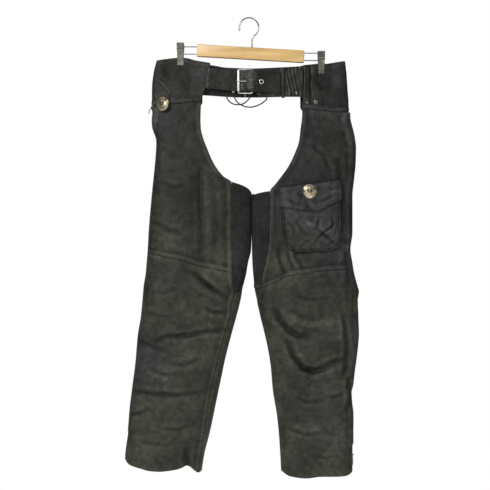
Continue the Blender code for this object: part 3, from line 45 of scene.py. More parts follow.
# The legs' shape.
seam = 0.3
fullness = 0.5
flapHigh = 4.7
flapEnd = 0.865
zipHalf = 13.0
clips = {"right": 174.7, "left": 184.2}
clipTops = {"right": 62.5, "left": 84.0}
rightOutline = (
    # drop, outer, inner, front, back
    (98, 232, -6.4, 8, 8), (139, 243.3, -6.4, 10, 10), (177, 247.4, -6.4, 12, 12),
    (226, 248, -6.4, 14, 14), (256, 248.6, -6.4, 16, 16), (284, 244.8, -6.4, 18, 18),
    (312, 238, -6.4, 20, 20), (345, 239.7, -6.4, 23, 22), (376, 242.3, -6.4, 25, 24),
    (453, 250, -6.4, 30, 27), (544, 257.6, -6.4, 33, 30), (590, 260.1, -4.6, 34, 31),
    (621, 262.7, 2.6, 34, 32), (651, 265.2, 7.7, 34, 32), (682, 270.3, 15.3, 34, 32),
    (713, 272.9, 20.4, 34, 32), (764, 278, 33.2, 33, 32), (810, 285.6, 45.9, 33, 31),
    (871, 290.7, 61.2, 32, 31), (932, 298.4, 74, 31, 30), (993, 306, 86.7, 31, 29),
    (1054, 311.1, 99.5, 30, 28), (1116, 318.8, 114.8, 29, 27),
    (1170, 320, 122.4, 28, 26),
)
leftOutline = (
    # drop, outer, inner, front, back
    (98, 243, 7.4, 8, 8), (139, 248.6, 7.4, 10, 10), (177, 251.2, 7.4, 12, 12),
    (218, 254.2, 7.4, 14, 14), (240, 254.5, 7.4, 15, 15), (269, 260.1, 7.4, 17, 17),
    (300, 267.8, 7.4, 20, 19), (330, 271.6, 7.4, 22, 21), (361, 272.3, 7.4, 24, 23),
    (407, 268.5, 7.4, 28, 25), (453, 263.9, 7.4, 30, 27), (544, 263.9, 7.4, 33, 30),
    (590, 258.8, 8.1, 34, 31), (621, 263.4, 9, 34, 32), (651, 268.5, 11, 34, 32),
    (682, 276.7, 13, 34, 32), (697, 280.6, 15.6, 34, 32), (718, 277.6, 20.4, 34, 32),
    (764, 279.2, 30.6, 33, 32), (794, 280.5, 38.3, 33, 32), (840, 278, 48.5, 33, 31),
    (886, 271.6, 56.1, 32, 31), (932, 266.5, 60, 31, 30), (952, 261.5, 62, 31, 30),
    (978, 263.4, 66.3, 31, 29), (1008, 266.5, 71.4, 31, 29),
    (1054, 266.5, 76.5, 30, 28), (1100, 266.5, 79.8, 29, 27),
    (1172, 266.5, 83.5, 28, 26),
)
rightFrontEdge = (
    # drop, u
    (98, 97), (154, 102), (185, 112.2), (213, 121), (256, 122.9), (282, 121.9), (305, 116.5),
    (339, 103.5), (373, 88), (404, 64.5), (414, 48.5), (418, 44), (520, 43.8), (660, 42.6),
    (703, 38.3), (718, 43.4), (756, 48.5), (782, 56), (845, 74), (922, 91.8), (973, 102),
    (1037, 112.2), (1088, 120), (1126, 126), (1170, 131.5),
)
leftFrontEdge = (
    # drop, u
    (98, 137.7), (206, 137.7), (222, 135.4), (250, 134.4), (287, 130), (313, 126.7), (336, 119.9),
    (360, 109.7), (383, 96.9), (404, 81.6), (425, 65.5), (440, 53.6), (470, 52.6), (565, 50),
    (640, 37.5), (664, 32.6), (684, 30.6), (760, 30), (1172, 88.5),
)
rightBackEdge = (
    # drop, u
    (98, 118), (213, 119), (235, 140), (262, 152), (290, 156), (318, 152), (345, 141),
    (372, 124), (398, 101), (420, 76), (437, 55), (448, 46), (560, 42), (640, 30),
    (676, 19),
)
leftBackEdge = (
    # drop, u
    (98, 130), (225, 131), (246, 146), (270, 156), (298, 160), (326, 156), (352, 146),
    (380, 128), (404, 106), (426, 82), (444, 60), (456, 50), (560, 46), (620, 32),
    (656, 17),
)
rightTip = {"crossing": 682, "tip": 703}
leftTip = {"crossing": 661, "tip": 684}
leftInseam = {"from": 684, "over": 60, "behind": 7}
rightStretchTop = ((0, 418), (0.25, 432), (0.5, 446), (0.62, 451), (1, 449))
leftStretchTop = ((0, 441), (0.2, 446), (0.42, 450.5), (0.55, 447), (1, 457))
rightWaist = (
    # u, drop
    (96, 115), (132, 108), (166, 100.5), (184, 100.5), (206, 102.5), (236, 108),
)
leftWaist = (
    # u, drop
    (137, 119.5), (158, 117), (176, 115.5), (195, 115.5), (214, 113), (246, 108.5),
)
rightYokeSeam = ((100, 212), (135, 214), (191, 218.8), (247, 222.5))
leftYokeSeam = ((120, 229), (180, 235), (221, 239), (256, 237.5))
rightThighSeam = (
    # u, drop
    (8, 650), (40, 647), (86, 638), (125, 631), (168, 617), (214, 608),
    (262, 596),
)
leftThighSeam = (
    # u, drop
    (12, 688), (30, 685), (61, 673), (102, 655.5), (145, 649.7), (179, 644),
    (213, 640.5), (266, 638),
)
rightBackSeam = ((8, 650), (90, 640), (180, 621), (262, 596))
leftBackSeam = ((12, 688), (60, 674), (120, 656), (180, 645), (266, 638))
rightHem = (
    # u, drop
    (120, 1152), (127, 1155), (139, 1148), (149, 1139.5), (158, 1136),
    (171, 1142), (184, 1146), (202, 1149), (227, 1151.5), (252, 1149.5),
    (273, 1144), (293, 1138.5), (304, 1134.5), (319, 1119),
)
leftHem = (
    # u, drop
    (84, 1153), (104, 1163.5), (145, 1168), (182, 1164), (227, 1164),
    (246, 1162.5), (260, 1156), (266.5, 1142),
)
rightFolds = (
    # side, u0, drop0, u1, drop1, depth, width
    ("front", 118, 380, 124, 620, 5.5, 26), ("front", 92, 400, 84, 640, -2.5, 22),
    ("front", 138, 646, 59, 708, 6, 19), ("front", 132, 690, 66, 718, -4, 18),
    ("front", 54, 789, 235, 820, 4.5, 22), ("front", 293, 947, 117, 950, 4, 20),
    ("front", 212, 848, 272, 824, 4, 20), ("front", 158, 1090, 158, 1150, 4.5, 20),
    ("back", 70, 690, 190, 720, 6, 26), ("back", 80, 770, 230, 760, 5, 26),
    ("back", 110, 850, 240, 880, 4, 26), ("back", 150, 300, 140, 520, 4, 28),
)
leftFolds = (
    # side, u0, drop0, u1, drop1, depth, width
    ("front", 65, 740, 96, 792, 6.5, 20), ("front", 96, 792, 148, 808, 6.5, 20),
    ("front", 97, 820, 163, 896, 7.5, 22), ("front", 163, 896, 235, 866, 7.5, 22),
    ("front", 100, 750, 205, 770, -4, 28), ("front", 150, 850, 190, 848, -4, 22),
    ("front", 240, 770, 240, 990, 4, 18), ("front", 84, 585, 96, 652, 4, 18),
    ("back", 80, 700, 200, 735, 6, 26), ("back", 90, 790, 225, 770, 5.5, 26),
    ("back", 110, 870, 230, 890, 4, 26), ("back", 150, 310, 145, 540, 4, 28),
)
flapLean = ((232, 23), (262, 18), (312, 2), (340, 0))
pocketLeft = ((424, 78.5), (480, 81), (530, 84), (562, 88), (584, 96), (597, 113))
pocketRight = (
    (400, 229.5), (480, 230.5), (540, 231), (568, 229.5), (586, 219), (594, 200),
)
pocketTop = ((78, 447), (230, 425))
pocketBottom = ((84, 598), (230, 593))
pocketFlapTop = ((79, 430), (229.5, 409.5))
pocketFlapTip = ((79, 482), (94, 484), (168.5, 494.5), (230, 463))
pocketThong = (
    ("leg", 117, 463.5, 15.6), ("leg", 123.5, 457.5, 15.8), ("plate", -22.5, -5.5, 4),
    ("plate", -15, 1, 6.6), ("plate", -9, 3, 8), ("plate", -4, 1, 7.4),
    ("plate", -4, 1, 1.4), ("plate", 0, 1, 1.4), ("plate", 4, 1, 1.4),
    ("plate", 4, 1, 7.4), ("plate", 9, 4.6, 8), ("plate", 15, 6.4, 6.4),
    ("plate", 21, 6.6, 4.2), ("leg", 185, 434.6, 15.8), ("leg", 194, 437.2, 15.6),
    ("leg", 203, 440, 15.6),
)
hipThong = (
    ("leg", 250, 243, 10.5), ("leg", 246, 236, 10.5), ("leg", 242, 228, 11),
    ("leg", 237, 220, 12), ("plate", -14.5, 10, 5.4), ("plate", -9.5, 11, 7.4),
    ("plate", -5.6, 6.4, 8), ("plate", -4, 1, 7.2), ("plate", -4, 1, 1.4),
    ("plate", 0, 1, 1.4), ("plate", 4, 1, 1.4), ("plate", 4, 1, 7.2),
    ("plate", 7.5, 6.5, 8), ("plate", 13, 12.5, 5.6), ("leg", 204, 200.7, 7),
    ("leg", 202.2, 193.5, 3.6), ("leg", 203, 187, 3.4), ("leg", 207.5, 181, 3.4),
    ("leg", 213.5, 174.5, 3.4), ("leg", 221.5, 166, 3.4), ("leg", 229.2, 157.6, 3.4),
)
tonguePath = (
    # x, y, z of the middle
    (-103, -16.6, -154), (-91, -16.2, -155), (-78, -15.6, -156.2), (-55, -14.4, -158.5),
    (-36, -13.2, -160.6), (-24, -13.4, -161.4), (-16, -15, -161.8), (-9, -18, -162),
    (-2, -21.4, -162.2), (8, -24, -162.6), (20, -24, -163.2), (27.9, -22.6, -163.6),
    (34.9, -21.4, -164), (50, -19.8, -165), (66, -18.8, -166), (80, -18.4, -166.8),
)
basePath = (
    # x, y, top z, bottom z
    (137.4, -13.2, -127.5, -201.5), (124, -12.9, -128, -201.5), (104, -12.8, -128.5, -201.5),
    (84, -12.8, -129.5, -201.3), (60, -12.8, -130.5, -201), (36, -12.8, -131.3, -201),
    (24, -12.8, -133, -199), (16, -12.8, -137, -187.5), (10, -12.8, -137.5, -187),
    (7, -14, -137.5, -187), (5.8, -16.6, -137.5, -187), (7, -19.4, -137.5, -187),
    (10.5, -20.6, -137.5, -187), (16, -19.8, -137.5, -187.5), (23, -17.4, -137.5, -188),
    (34, -15.8, -138, -189), (56, -15.6, -139, -190),
)
rightBandPath = (
    # x, y, top z, bottom z
    (-118, 12, -115.5, -194.5), (-94, 12.6, -117.5, -196), (-66, 13.6, -122.5, -198),
    (-42, 14, -124, -199.5), (-36, 14, -124.3, -199.8), (-30, 14, -124.6, -200),
    (-10.2, 14, -125.3, -200),
)
leftBandPath = (
    # x, y, top z, bottom z
    (
        -9.8, 14, -125.4, -200,
    ), (10, 14, -125.6, -200), (16, 14, -125.5, -200), (22, 14, -125.3, -200),
    (48, 13.8, -124.2, -199.5), (84, 13.2, -122.6, -198.5), (106, 12.7, -121.6, -198),
    (130, 12, -120.4, -197.5),
)
backLace = (
    # x, y, z
    (-1, 4, -192), (2, 3.6, -200.5), (-6, 3.4, -211), (-13.5, 3.2, -216.4),
    (-22, 3.2, -219), (-31, 3.2, -219.4), (-39, 3.2, -218), (-46.5, 3.3, -214.4),
    (-52.5, 3.5, -208.5), (-56.5, 4.2, -200.5), (-57.5, 5.4, -190), (-55.5, 6.8, -178),
    (-51, 7.8, -164), (-46, 8.4, -152), (-41, 8.6, -143.4), (-39, 10.6, -139),
    (-39, 18.4, -139), (-31, 18.7, -139.2), (-21, 18.7, -139.6), (-10, 18.7, -140),
    (1, 18.7, -139.6), (11, 18.7, -139.2), (19, 18.4, -139), (19, 10.6, -139),
    (20.6, 10.3, -146), (20.6, 10.3, -155), (19, 10.6, -162), (19, 18.4, -162),
    (11, 18.7, -162.2), (1, 18.7, -162.6), (-10, 18.7, -163), (-21, 18.7, -162.6),
    (-31, 18.7, -162.2), (-39, 18.4, -162), (-39, 10.6, -162), (-40.6, 10.3, -169),
    (-40.6, 10.3, -178), (-39, 10.6, -185), (-39, 18.4, -185), (-31, 18.7, -185.2),
    (-21, 18.7, -185.6), (-10, 18.7, -186), (1, 18.7, -185.6), (11, 18.7, -185.2),
    (19, 18.4, -185), (19, 10.6, -185), (27, 8.2, -186), (37, 8, -189.6),
    (44.5, 8, -196), (45.5, 8, -204), (39, 8, -211), (31, 8, -216.6),
    (22, 8, -221), (12, 8, -224), (2, 8, -225.4), (-8, 8, -224),
    (-18, 8, -220.6), (-26.5, 8, -215.4), (-33, 8.1, -208.6), (-36.6, 8.3, -200.4),
    (-33, 8.6, -192), (-25, 8.8, -187.5),
)
waistTab = ((119, 158.5, 173), (148, 157.6, 174.2), (195, 156.8, 186), (222, 156.8, 186.4))
tabRound = {"drop": 227}
loopLook = {"x0": 135.6, "x1": 152.6, "top": 121.5, "bottom": 221}
jawProfile = (
    # down from the clip's top, half gap, as the jaw's inner face runs
    (0, 8.6), (14, 6.9), (24, 6.1), (40, 3.2), (47, 2.45), (57, 2.45),
)
keeperLook = {
    "x": 86.5, "width": 8, "top": -127, "bottom": -204, "front": -19.6, "back": -10.4, "wall": 1.8,
}
bandEyelets = {"right": -39, "left": 19, "rows": (-139, -162, -185), "half": 3}

# Finer creases, as lines of (u, drop) on one side, with their depth and width.
rightCreases = (
    # side, depth, width, points
    ("front", 3.2, 7, ((137, 648), (117, 668), (87, 694), (60, 708))),
    ("front", -1.6, 8, ((130, 684), (95, 698), (66, 712))),
    ("front", 2.2, 6, ((112, 733), (92, 746), (61, 748))),
    ("front", 2.4, 7, ((54, 789), (112, 797), (150, 805), (214, 810), (235, 820))),
    ("front", 1.4, 6, ((278, 822), (245, 833), (212, 848))),
    ("front", 1.8, 7, ((293, 947), (252, 953), (189, 958), (117, 950))),
    ("front", 1.5, 6, ((303, 1010), (278, 1002), (257, 993))),
    ("front", 2, 8, ((158, 1090), (160, 1118), (157, 1138))),
    ("front", 1.3, 7, ((121, 372), (124, 440), (120, 520), (122, 618))),
    ("front", 1.1, 9, ((96, 405), (86, 480), (84, 560), (88, 630))),
    ("front", 1, 6, ((224, 330), (200, 352), (178, 360))),
    ("front", 0.9, 6, ((222, 420), (190, 432), (160, 430))),
    ("front", 1.1, 7, ((236, 520), (205, 540), (170, 548))),
    ("front", 0.9, 6, ((180, 690), (215, 700), (246, 694))),
    ("front", 0.9, 5, ((262, 742), (236, 756), (200, 760))),
    ("front", 1.2, 6, ((120, 862), (160, 880), (205, 878))),
    ("front", 1, 6, ((250, 890), (215, 905), (180, 902))),
    ("front", 1.1, 6, ((140, 1030), (180, 1044), (230, 1040))),
    ("front", 0.9, 5, ((270, 1072), (235, 1082), (200, 1080))),
    ("back", 2.4, 8, ((60, 690), (110, 705), (160, 716), (200, 712))),
    ("back", 1.8, 7, ((70, 742), (130, 752), (190, 744))),
    ("back", 1.6, 8, ((90, 800), (150, 820), (220, 812))),
    ("back", 1.5, 7, ((120, 900), (180, 915), (240, 905))),
    ("back", 1.3, 7, ((130, 1010), (190, 1026), (260, 1018))),
    ("back", 1.6, 9, ((190, 270), (182, 360), (186, 470))),
    ("back", 1.2, 8, ((120, 500), (128, 560), (126, 610))),
)
leftCreases = (
    ("front", 3.6, 8, ((65, 740), (79, 766), (98, 790), (122, 806), (148, 808))),
    ("front", 3.4, 8, ((97, 820), (114, 860), (137, 888), (163, 898), (194, 889), (235, 866))),
    ("front", -1.8, 9, ((92, 748), (120, 770), (160, 780), (206, 772))),
    ("front", 2.6, 7, ((238, 754), (244, 800), (247, 842), (242, 890), (234, 912))),
    ("front", 2, 6, ((252, 912), (250, 934), (254, 955), (251, 985), (243, 1004))),
    ("front", 1.5, 6, ((236, 864), (205, 872), (182, 880))),
    ("front", 1.4, 6, ((240, 952), (222, 958), (206, 964))),
    ("front", 1.8, 6, ((74, 588), (78, 622), (92, 652))),
    ("front", 1.5, 5, ((96, 592), (104, 618), (112, 640))),
    ("front", 1.4, 6, ((112, 560), (118, 610), (140, 640))),
    ("front", 1.5, 7, ((224, 360), (229, 415), (233, 470))),
    ("front", 1.2, 6, ((254, 430), (256, 500), (257, 588))),
    ("front", 1.1, 6, ((244, 590), (246, 640), (250, 690))),
    ("front", 1, 6, ((110, 300), (112, 340), (100, 372))),
    ("front", 1.1, 6, ((165, 330), (190, 352), (205, 390))),
    ("front", 1, 6, ((110, 700), (150, 716), (200, 712))),
    ("front", 1.1, 6, ((110, 960), (150, 975), (190, 968))),
    ("front", 1.2, 6, ((100, 1040), (140, 1056), (200, 1050))),
    ("front", 0.9, 5, ((150, 1105), (190, 1116), (236, 1108))),
    ("back", 2.4, 8, ((80, 700), (130, 722), (190, 735))),
    ("back", 2, 8, ((90, 790), (150, 796), (225, 772))),
    ("back", 1.6, 7, ((100, 860), (160, 880), (230, 892))),
    ("back", 1.3, 7, ((110, 980), (170, 1000), (230, 990))),
    ("back", 1.6, 9, ((195, 280), (188, 380), (192, 480))),
    ("back", 1.2, 8, ((130, 520), (136, 570), (132, 620))),
)


def through(rows, column=1):
    # a smooth curve through a table's rows that doesn't overshoot them
    at = np.array([row[0] for row in rows], float)
    value = np.array([row[column] for row in rows], float)
    step = np.diff(at)
    rise = np.diff(value) / step
    slope = np.concatenate([[rise[0]], np.zeros(len(at) - 2), [rise[-1]]])
    same = rise[:-1] * rise[1:] > 0
    mean = 2 * rise[:-1] * rise[1:] / np.where(same, rise[:-1] + rise[1:], 1)
    slope[1:-1] = np.where(same, mean, 0)

    def curve(x):
        x = np.clip(x, at[0], at[-1])
        i = np.clip(np.searchsorted(at, x) - 1, 0, len(step) - 1)
        t = (x - at[i]) / step[i]
        start = value[i] * (1 + 2 * t) * (1 - t) ** 2 + slope[i] * step[i] * t * (1 - t) ** 2
        end = value[i + 1] * t * t * (3 - 2 * t) + slope[i + 1] * step[i] * t * t * (t - 1)
        return start + end

    return curve


def straight(rows):
    at = [row[0] for row in rows]
    value = [row[1] for row in rows]
    return lambda x: np.interp(x, at, value)


def ease(x):
    x = np.clip(x, 0.0, 1.0)
    return x * x * (3 - 2 * x)


def awayFrom(u, drop, points):
    # distance from a crease's line, and how far along it the nearest spot is, from 0 to 1
    best = np.full(np.shape(u), 1e9)
    along = np.zeros(np.shape(u))
    pieces = len(points) - 1
    for number, (a, b) in enumerate(zip(points, points[1:])):
        run = np.array(b, float) - np.array(a, float)
        t = np.clip(((u - a[0]) * run[0] + (drop - a[1]) * run[1]) / (run @ run), 0, 1)
        away = np.hypot(u - a[0] - t * run[0], drop - a[1] - t * run[1])
        nearer = away < best
        best = np.where(nearer, away, best)
        along = np.where(nearer, (number + t) / pieces, along)
    return best, along


class Leg:
    # The angle is 0 at the outer fold, rises over the front to pi at the inner fold, and goes on
    # over the back, or falls below 0 over the back from the outer fold.
    def __init__(self, word, side, outline, folds, creases, clip, waist, seamDrop, edges):
        self.word = word
        self.side = side
        self.outer, self.inner, self.frontDepth, self.backDepth = (
            through(outline, column) for column in (1, 2, 3, 4)
        )
        self.folds = folds
        self.creases = creases
        self.clip = clip
        self.waist = waist
        self.seamDrop = seamDrop
        self.edges = [
            (np.mean([row[1] for row in front]), through(front), through(back))
            for front, back in edges
        ]

    def half(self, drop):
        cover = leather + (flapHigh - leather) * ease((drop - self.seamDrop) / 25)
        outer = self.outer(drop) - cover
        inner = self.inner(drop) + leather
        return (outer - inner) / 2, (outer + inner) / 2

    def u(self, theta, drop):
        half, middle = self.half(drop)
        return middle + half * np.cos(theta)

    def front(self, u, drop):
        half, middle = self.half(drop)
        return np.arccos(np.clip((u - middle) / half, -1, 1))

    def back(self, u, drop):
        return -self.front(u, drop)

    def pinch(self, u, drop):
        near = np.exp(-((np.maximum(np.abs(u - self.clip) - 24, 0) / 24) ** 2))
        low = np.exp(-((np.maximum(drop - self.waist - 27, 0) / 42) ** 2))
        return 1 - 0.97 * near * low

    def dent(self, u, drop, front):
        total = np.zeros(np.shape(u))
        for side, u0, drop0, u1, drop1, depth, width in self.folds:
            away = awayFrom(u, drop, ((u0, drop0), (u1, drop1)))[0]
            total += np.where(front == (side == "front"), depth * np.exp(-((away / width) ** 2)), 0)
        return total

    def crease(self, u, drop, front):
        # a trough with soft shoulders that fades out at both ends
        total = np.zeros(np.shape(u))
        for side, depth, width, points in self.creases:
            away, along = awayFrom(u, drop, points)
            width = width * 0.85
            fade = np.sqrt(np.clip(np.sin(math.pi * np.clip(along, 0.02, 0.98)), 0, 1))
            trough = np.exp(-((away / width) ** 2))
            shoulder = 0.45 * np.exp(-(((away - 2.0 * width) / width) ** 2))
            shape = 1.6 * depth * fade * (trough - shoulder)
            total += np.where(front == (side == "front"), shape, 0)
        return total

    def base(self, theta, drop, fine=False):
        theta, drop = np.broadcast_arrays(np.asarray(theta, float), np.asarray(drop, float))
        half, middle = self.half(drop)
        u = middle + half * np.cos(theta)
        sine = np.sin(theta)
        front = sine > 0
        depth = np.where(front, self.frontDepth(drop), self.backDepth(drop))
        depth = depth * (1 + fullness * np.cos(theta) ** 2) * self.pinch(u, drop)
        dent = self.dent(u, drop, front)
        if fine:
            dent = dent + self.crease(u, drop, front) + softWaves(u, drop, front)
        depth = depth - dent * np.abs(sine) * self.pinch(u, drop)
        return np.stack([self.side * u, -sine * depth, -drop], axis=-1)

    def level(self, place, theta):
        # the drop of a row: 0 is the waist, 1 the yoke's seam, 2 the thigh's and 3 the hem
        ladder = []
        for usual, front, back in self.edges:
            u = self.u(theta, usual)
            ladder.append(np.where(np.sin(theta) > 0, front(u), back(u)))
        ladder = np.array(ladder)
        low = np.clip(np.floor(place).astype(int), 0, 2)
        part = np.asarray(place, float) - low
        which = np.arange(len(theta))
        return ladder[low, which] * (1 - part) + ladder[low + 1, which] * part

    def skin(self, theta, drop, lift, fine=True):
        # points moved out from the inner surface, in metres
        turn, fall = 0.004, 0.8
        point = self.base(theta, drop, fine)
        along = self.base(theta + turn, drop, fine) - self.base(theta - turn, drop, fine)
        down = self.base(theta, drop + fall, fine) - self.base(theta, drop - fall, fine)
        normal = self.side * np.cross(along, down)
        normal /= np.linalg.norm(normal, axis=-1, keepdims=True)
        return (point + normal * np.asarray(lift, float)[..., None]) * mm

    def around(self, theta, drop, reach, steps=24):
        # the angle a distance further round the girth
        theta = np.asarray(theta, float) + np.zeros(np.shape(drop))
        for _ in range(steps):
            gap = self.base(theta + 0.002, drop) - self.base(theta - 0.002, drop)
            theta = theta + reach / steps * 0.004 / np.linalg.norm(gap, axis=-1)
        return theta

    def seat(self, u, drop, lift):
        # across, up and out on the front, as a matrix
        theta = self.front(u, drop)
        here = Vector(self.skin(theta, drop, lift, False))
        out = (here - Vector(self.skin(theta, drop, lift - 1.0, False))).normalized()
        up = (Vector((0, 0, 1)) - out * out.z).normalized()
        turn = Matrix((up.cross(out), up, out)).transposed().to_4x4()
        return Matrix.Translation(here) @ turn


def softWaves(u, drop, front):
    # the hide's own unevenness: a few long crossing waves, no two alike
    way = np.where(front, 1.0, -1.0)
    total = 0.55 * np.sin(drop / 41.0 + u / 63.0 * way + 0.7)
    total += 0.45 * np.sin(drop / 27.0 - u / 37.0 * way + 2.1)
    total += 0.35 * np.sin(drop / 17.0 + u / 21.0 + 4.0 * way)
    total += 0.22 * np.sin(drop / 9.5 - u / 13.0 * way + np.sin(drop / 33.0))
    return total


rightLeg = Leg("right", -1, rightOutline, rightFolds, rightCreases, clips["right"], 98.0, 222.0, (
    (rightWaist, rightWaist),
    (rightYokeSeam, rightYokeSeam),
    (rightThighSeam, rightBackSeam),
    (rightHem, rightHem),
))
leftLeg = Leg("left", 1, leftOutline, leftFolds, leftCreases, clips["left"], 118.0, 237.0, (
    (leftWaist, leftWaist),
    (leftYokeSeam, leftYokeSeam),
    (leftThighSeam, leftBackSeam),
    (leftHem, leftHem),
))

ladder = np.arange(90.0, 1184.0, 3.0)


def tabled(column):
    found = column(ladder)
    return lambda drop: np.interp(drop, ladder, found)


def between(left, right, share):
    return lambda drop: left(drop) * (1 - share) + right(drop) * share


def roundFromFold(leg, reach):
    return tabled(
        lambda drop: leg.around(0.0 * drop, drop, reach(drop) if callable(reach) else reach)
    )


def innerFrontEdge(leg, cut):
    curve = through(cut["frontEdge"])

    def at(drop):
        seam = leg.front(curve(drop), drop)
        if "inseam" not in cut:
            return seam
        way = cut["inseam"]
        behind = leg.around(math.pi + 0.0 * drop, drop, way["behind"])
        return seam + (behind - seam) * ease((drop - way["from"]) / way["over"])

    return tabled(at)


def innerBackEdge(leg, cut):
    front, curve = innerFrontEdge(leg, cut), through(cut["backEdge"])
    crossing, tip = cut["tip"]["crossing"], cut["tip"]["tip"]

    def at(drop):
        back = leg.back(curve(np.minimum(drop, crossing - 6)), drop)
        seam = front(drop) - 2 * math.pi
        upper = -math.pi + (back + math.pi) * ease((crossing - drop) / 14)
        lower = -math.pi + (seam + math.pi) * ease((drop - crossing) / (tip - crossing))
        return np.where(drop < crossing, upper, lower)

    return tabled(at)


def spots(leg, column, rows, share):
    place = np.array([row[0] if isinstance(row, tuple) else 0.0 if callable(row) else row for row in rows])
    offset = np.array([row[1] if isinstance(row, tuple) else 0.0 for row in rows])
    fixed = np.array([float(row(share)) if callable(row) else np.nan for row in rows])
    drop = np.where(np.isnan(fixed), 300.0 + 280 * (place - 1), fixed)
    for _ in range(18):
        theta = column(drop)
        goal = np.where(np.isnan(fixed), leg.level(place, theta) + offset, fixed)
        drop = 0.35 * drop + 0.65 * goal
    return column(drop), drop


def withEdges(count, near=(0.0, 0.006, 0.018)):
    # even shares with a few close to each edge, so that the cut edge can be rounded
    middle = np.linspace(near[-1], 1 - near[-1], count)
    return np.concatenate([near[:-1], middle, [1 - n for n in near[:-1][::-1]]])


# Finishes.
finishes = {
    "hide": {
        "dark": (
            0.0180, 0.0185, 0.0168,
        ), "pale": (0.0318, 0.0326, 0.0296), "rough": (0.40, 0.60), "grain": 620,
        "bump": 0.30, "swell": 0.42, "gloss": 0.12, "warm": (1.0, 1.03, 0.83), "cool": (1.0, 1.0, 1.08),
    },
    "strap": {
        "dark": (
            0.0066, 0.0066, 0.0050,
        ), "pale": (0.0145, 0.0145, 0.0108), "rough": (0.28, 0.45), "grain": 800,
        "bump": 0.20, "gloss": 0.2,
    },
    "lace": {
        "dark": (0.012, 0.009, 0.007), "pale": (0.026, 0.02, 0.015), "rough": (0.45, 0.65), "grain": 1200,
        "bump": 0.25,
    },
    "hipLace": {
        "dark": (0.05, 0.028, 0.017), "pale": (0.085, 0.05, 0.032), "rough": (0.5, 0.7), "grain": 1200,
        "bump": 0.25,
    },
    "stretch": {
        "dark": (
            0.0066, 0.0066, 0.0066,
        ), "pale": (0.0130, 0.0130, 0.0130), "rough": (0.75, 0.92), "grain": 1500,
        "bump": 0.18, "gloss": 0.2,
    },
    "rawEdge": {
        "dark": (0.045, 0.014, 0.011), "pale": (0.075, 0.026, 0.02), "rough": (0.75, 0.9), "grain": 1500,
        "bump": 0.3,
    },
    "thread": {
        "dark": (0.008, 0.008, 0.008), "pale": (0.016, 0.016, 0.015), "rough": (0.55, 0.7), "grain": 2500,
        "bump": 0.1,
    },
    "tape": {
        "dark": (0.010, 0.010, 0.011), "pale": (0.017, 0.017, 0.018), "rough": (0.8, 0.92), "grain": 1400,
        "bump": 0.2,
    },
}


def newMaterial(name):
    made = bpy.data.materials.new(name)
    made.use_nodes = True
    nodes, links = made.node_tree.nodes, made.node_tree.links
    shader = nodes["Principled BSDF"]
    where = nodes.new("ShaderNodeTexCoord")
    return made, nodes, links, shader, where.outputs["Object"]


def noiseNode(nodes, links, where, scale, detail=4.0, stretch=None):
    noise = nodes.new("ShaderNodeTexNoise")
    noise.inputs["Scale"].default_value = scale
    noise.inputs["Detail"].default_value = detail
    if stretch:
        mapping = nodes.new("ShaderNodeMapping")
        mapping.inputs["Scale"].default_value = stretch
        links.new(where, mapping.inputs["Vector"])
        where = mapping.outputs["Vector"]
    links.new(where, noise.inputs["Vector"])
    return noise


def rampNode(nodes, links, value, low, high, dark, pale):
    ramp = nodes.new("ShaderNodeValToRGB")
    ramp.color_ramp.elements[0].position = low
    ramp.color_ramp.elements[0].color = (*dark, 1.0)
    ramp.color_ramp.elements[1].position = high
    ramp.color_ramp.elements[1].color = (*pale, 1.0)
    links.new(value, ramp.inputs["Fac"])
    return ramp


def rangeNode(nodes, links, value, low, high, fromLow=0.3, fromHigh=0.7):
    spread = nodes.new("ShaderNodeMapRange")
    spread.inputs["From Min"].default_value = fromLow
    spread.inputs["From Max"].default_value = fromHigh
    spread.inputs["To Min"].default_value = low
    spread.inputs["To Max"].default_value = high
    links.new(value, spread.inputs["Value"])
    return spread


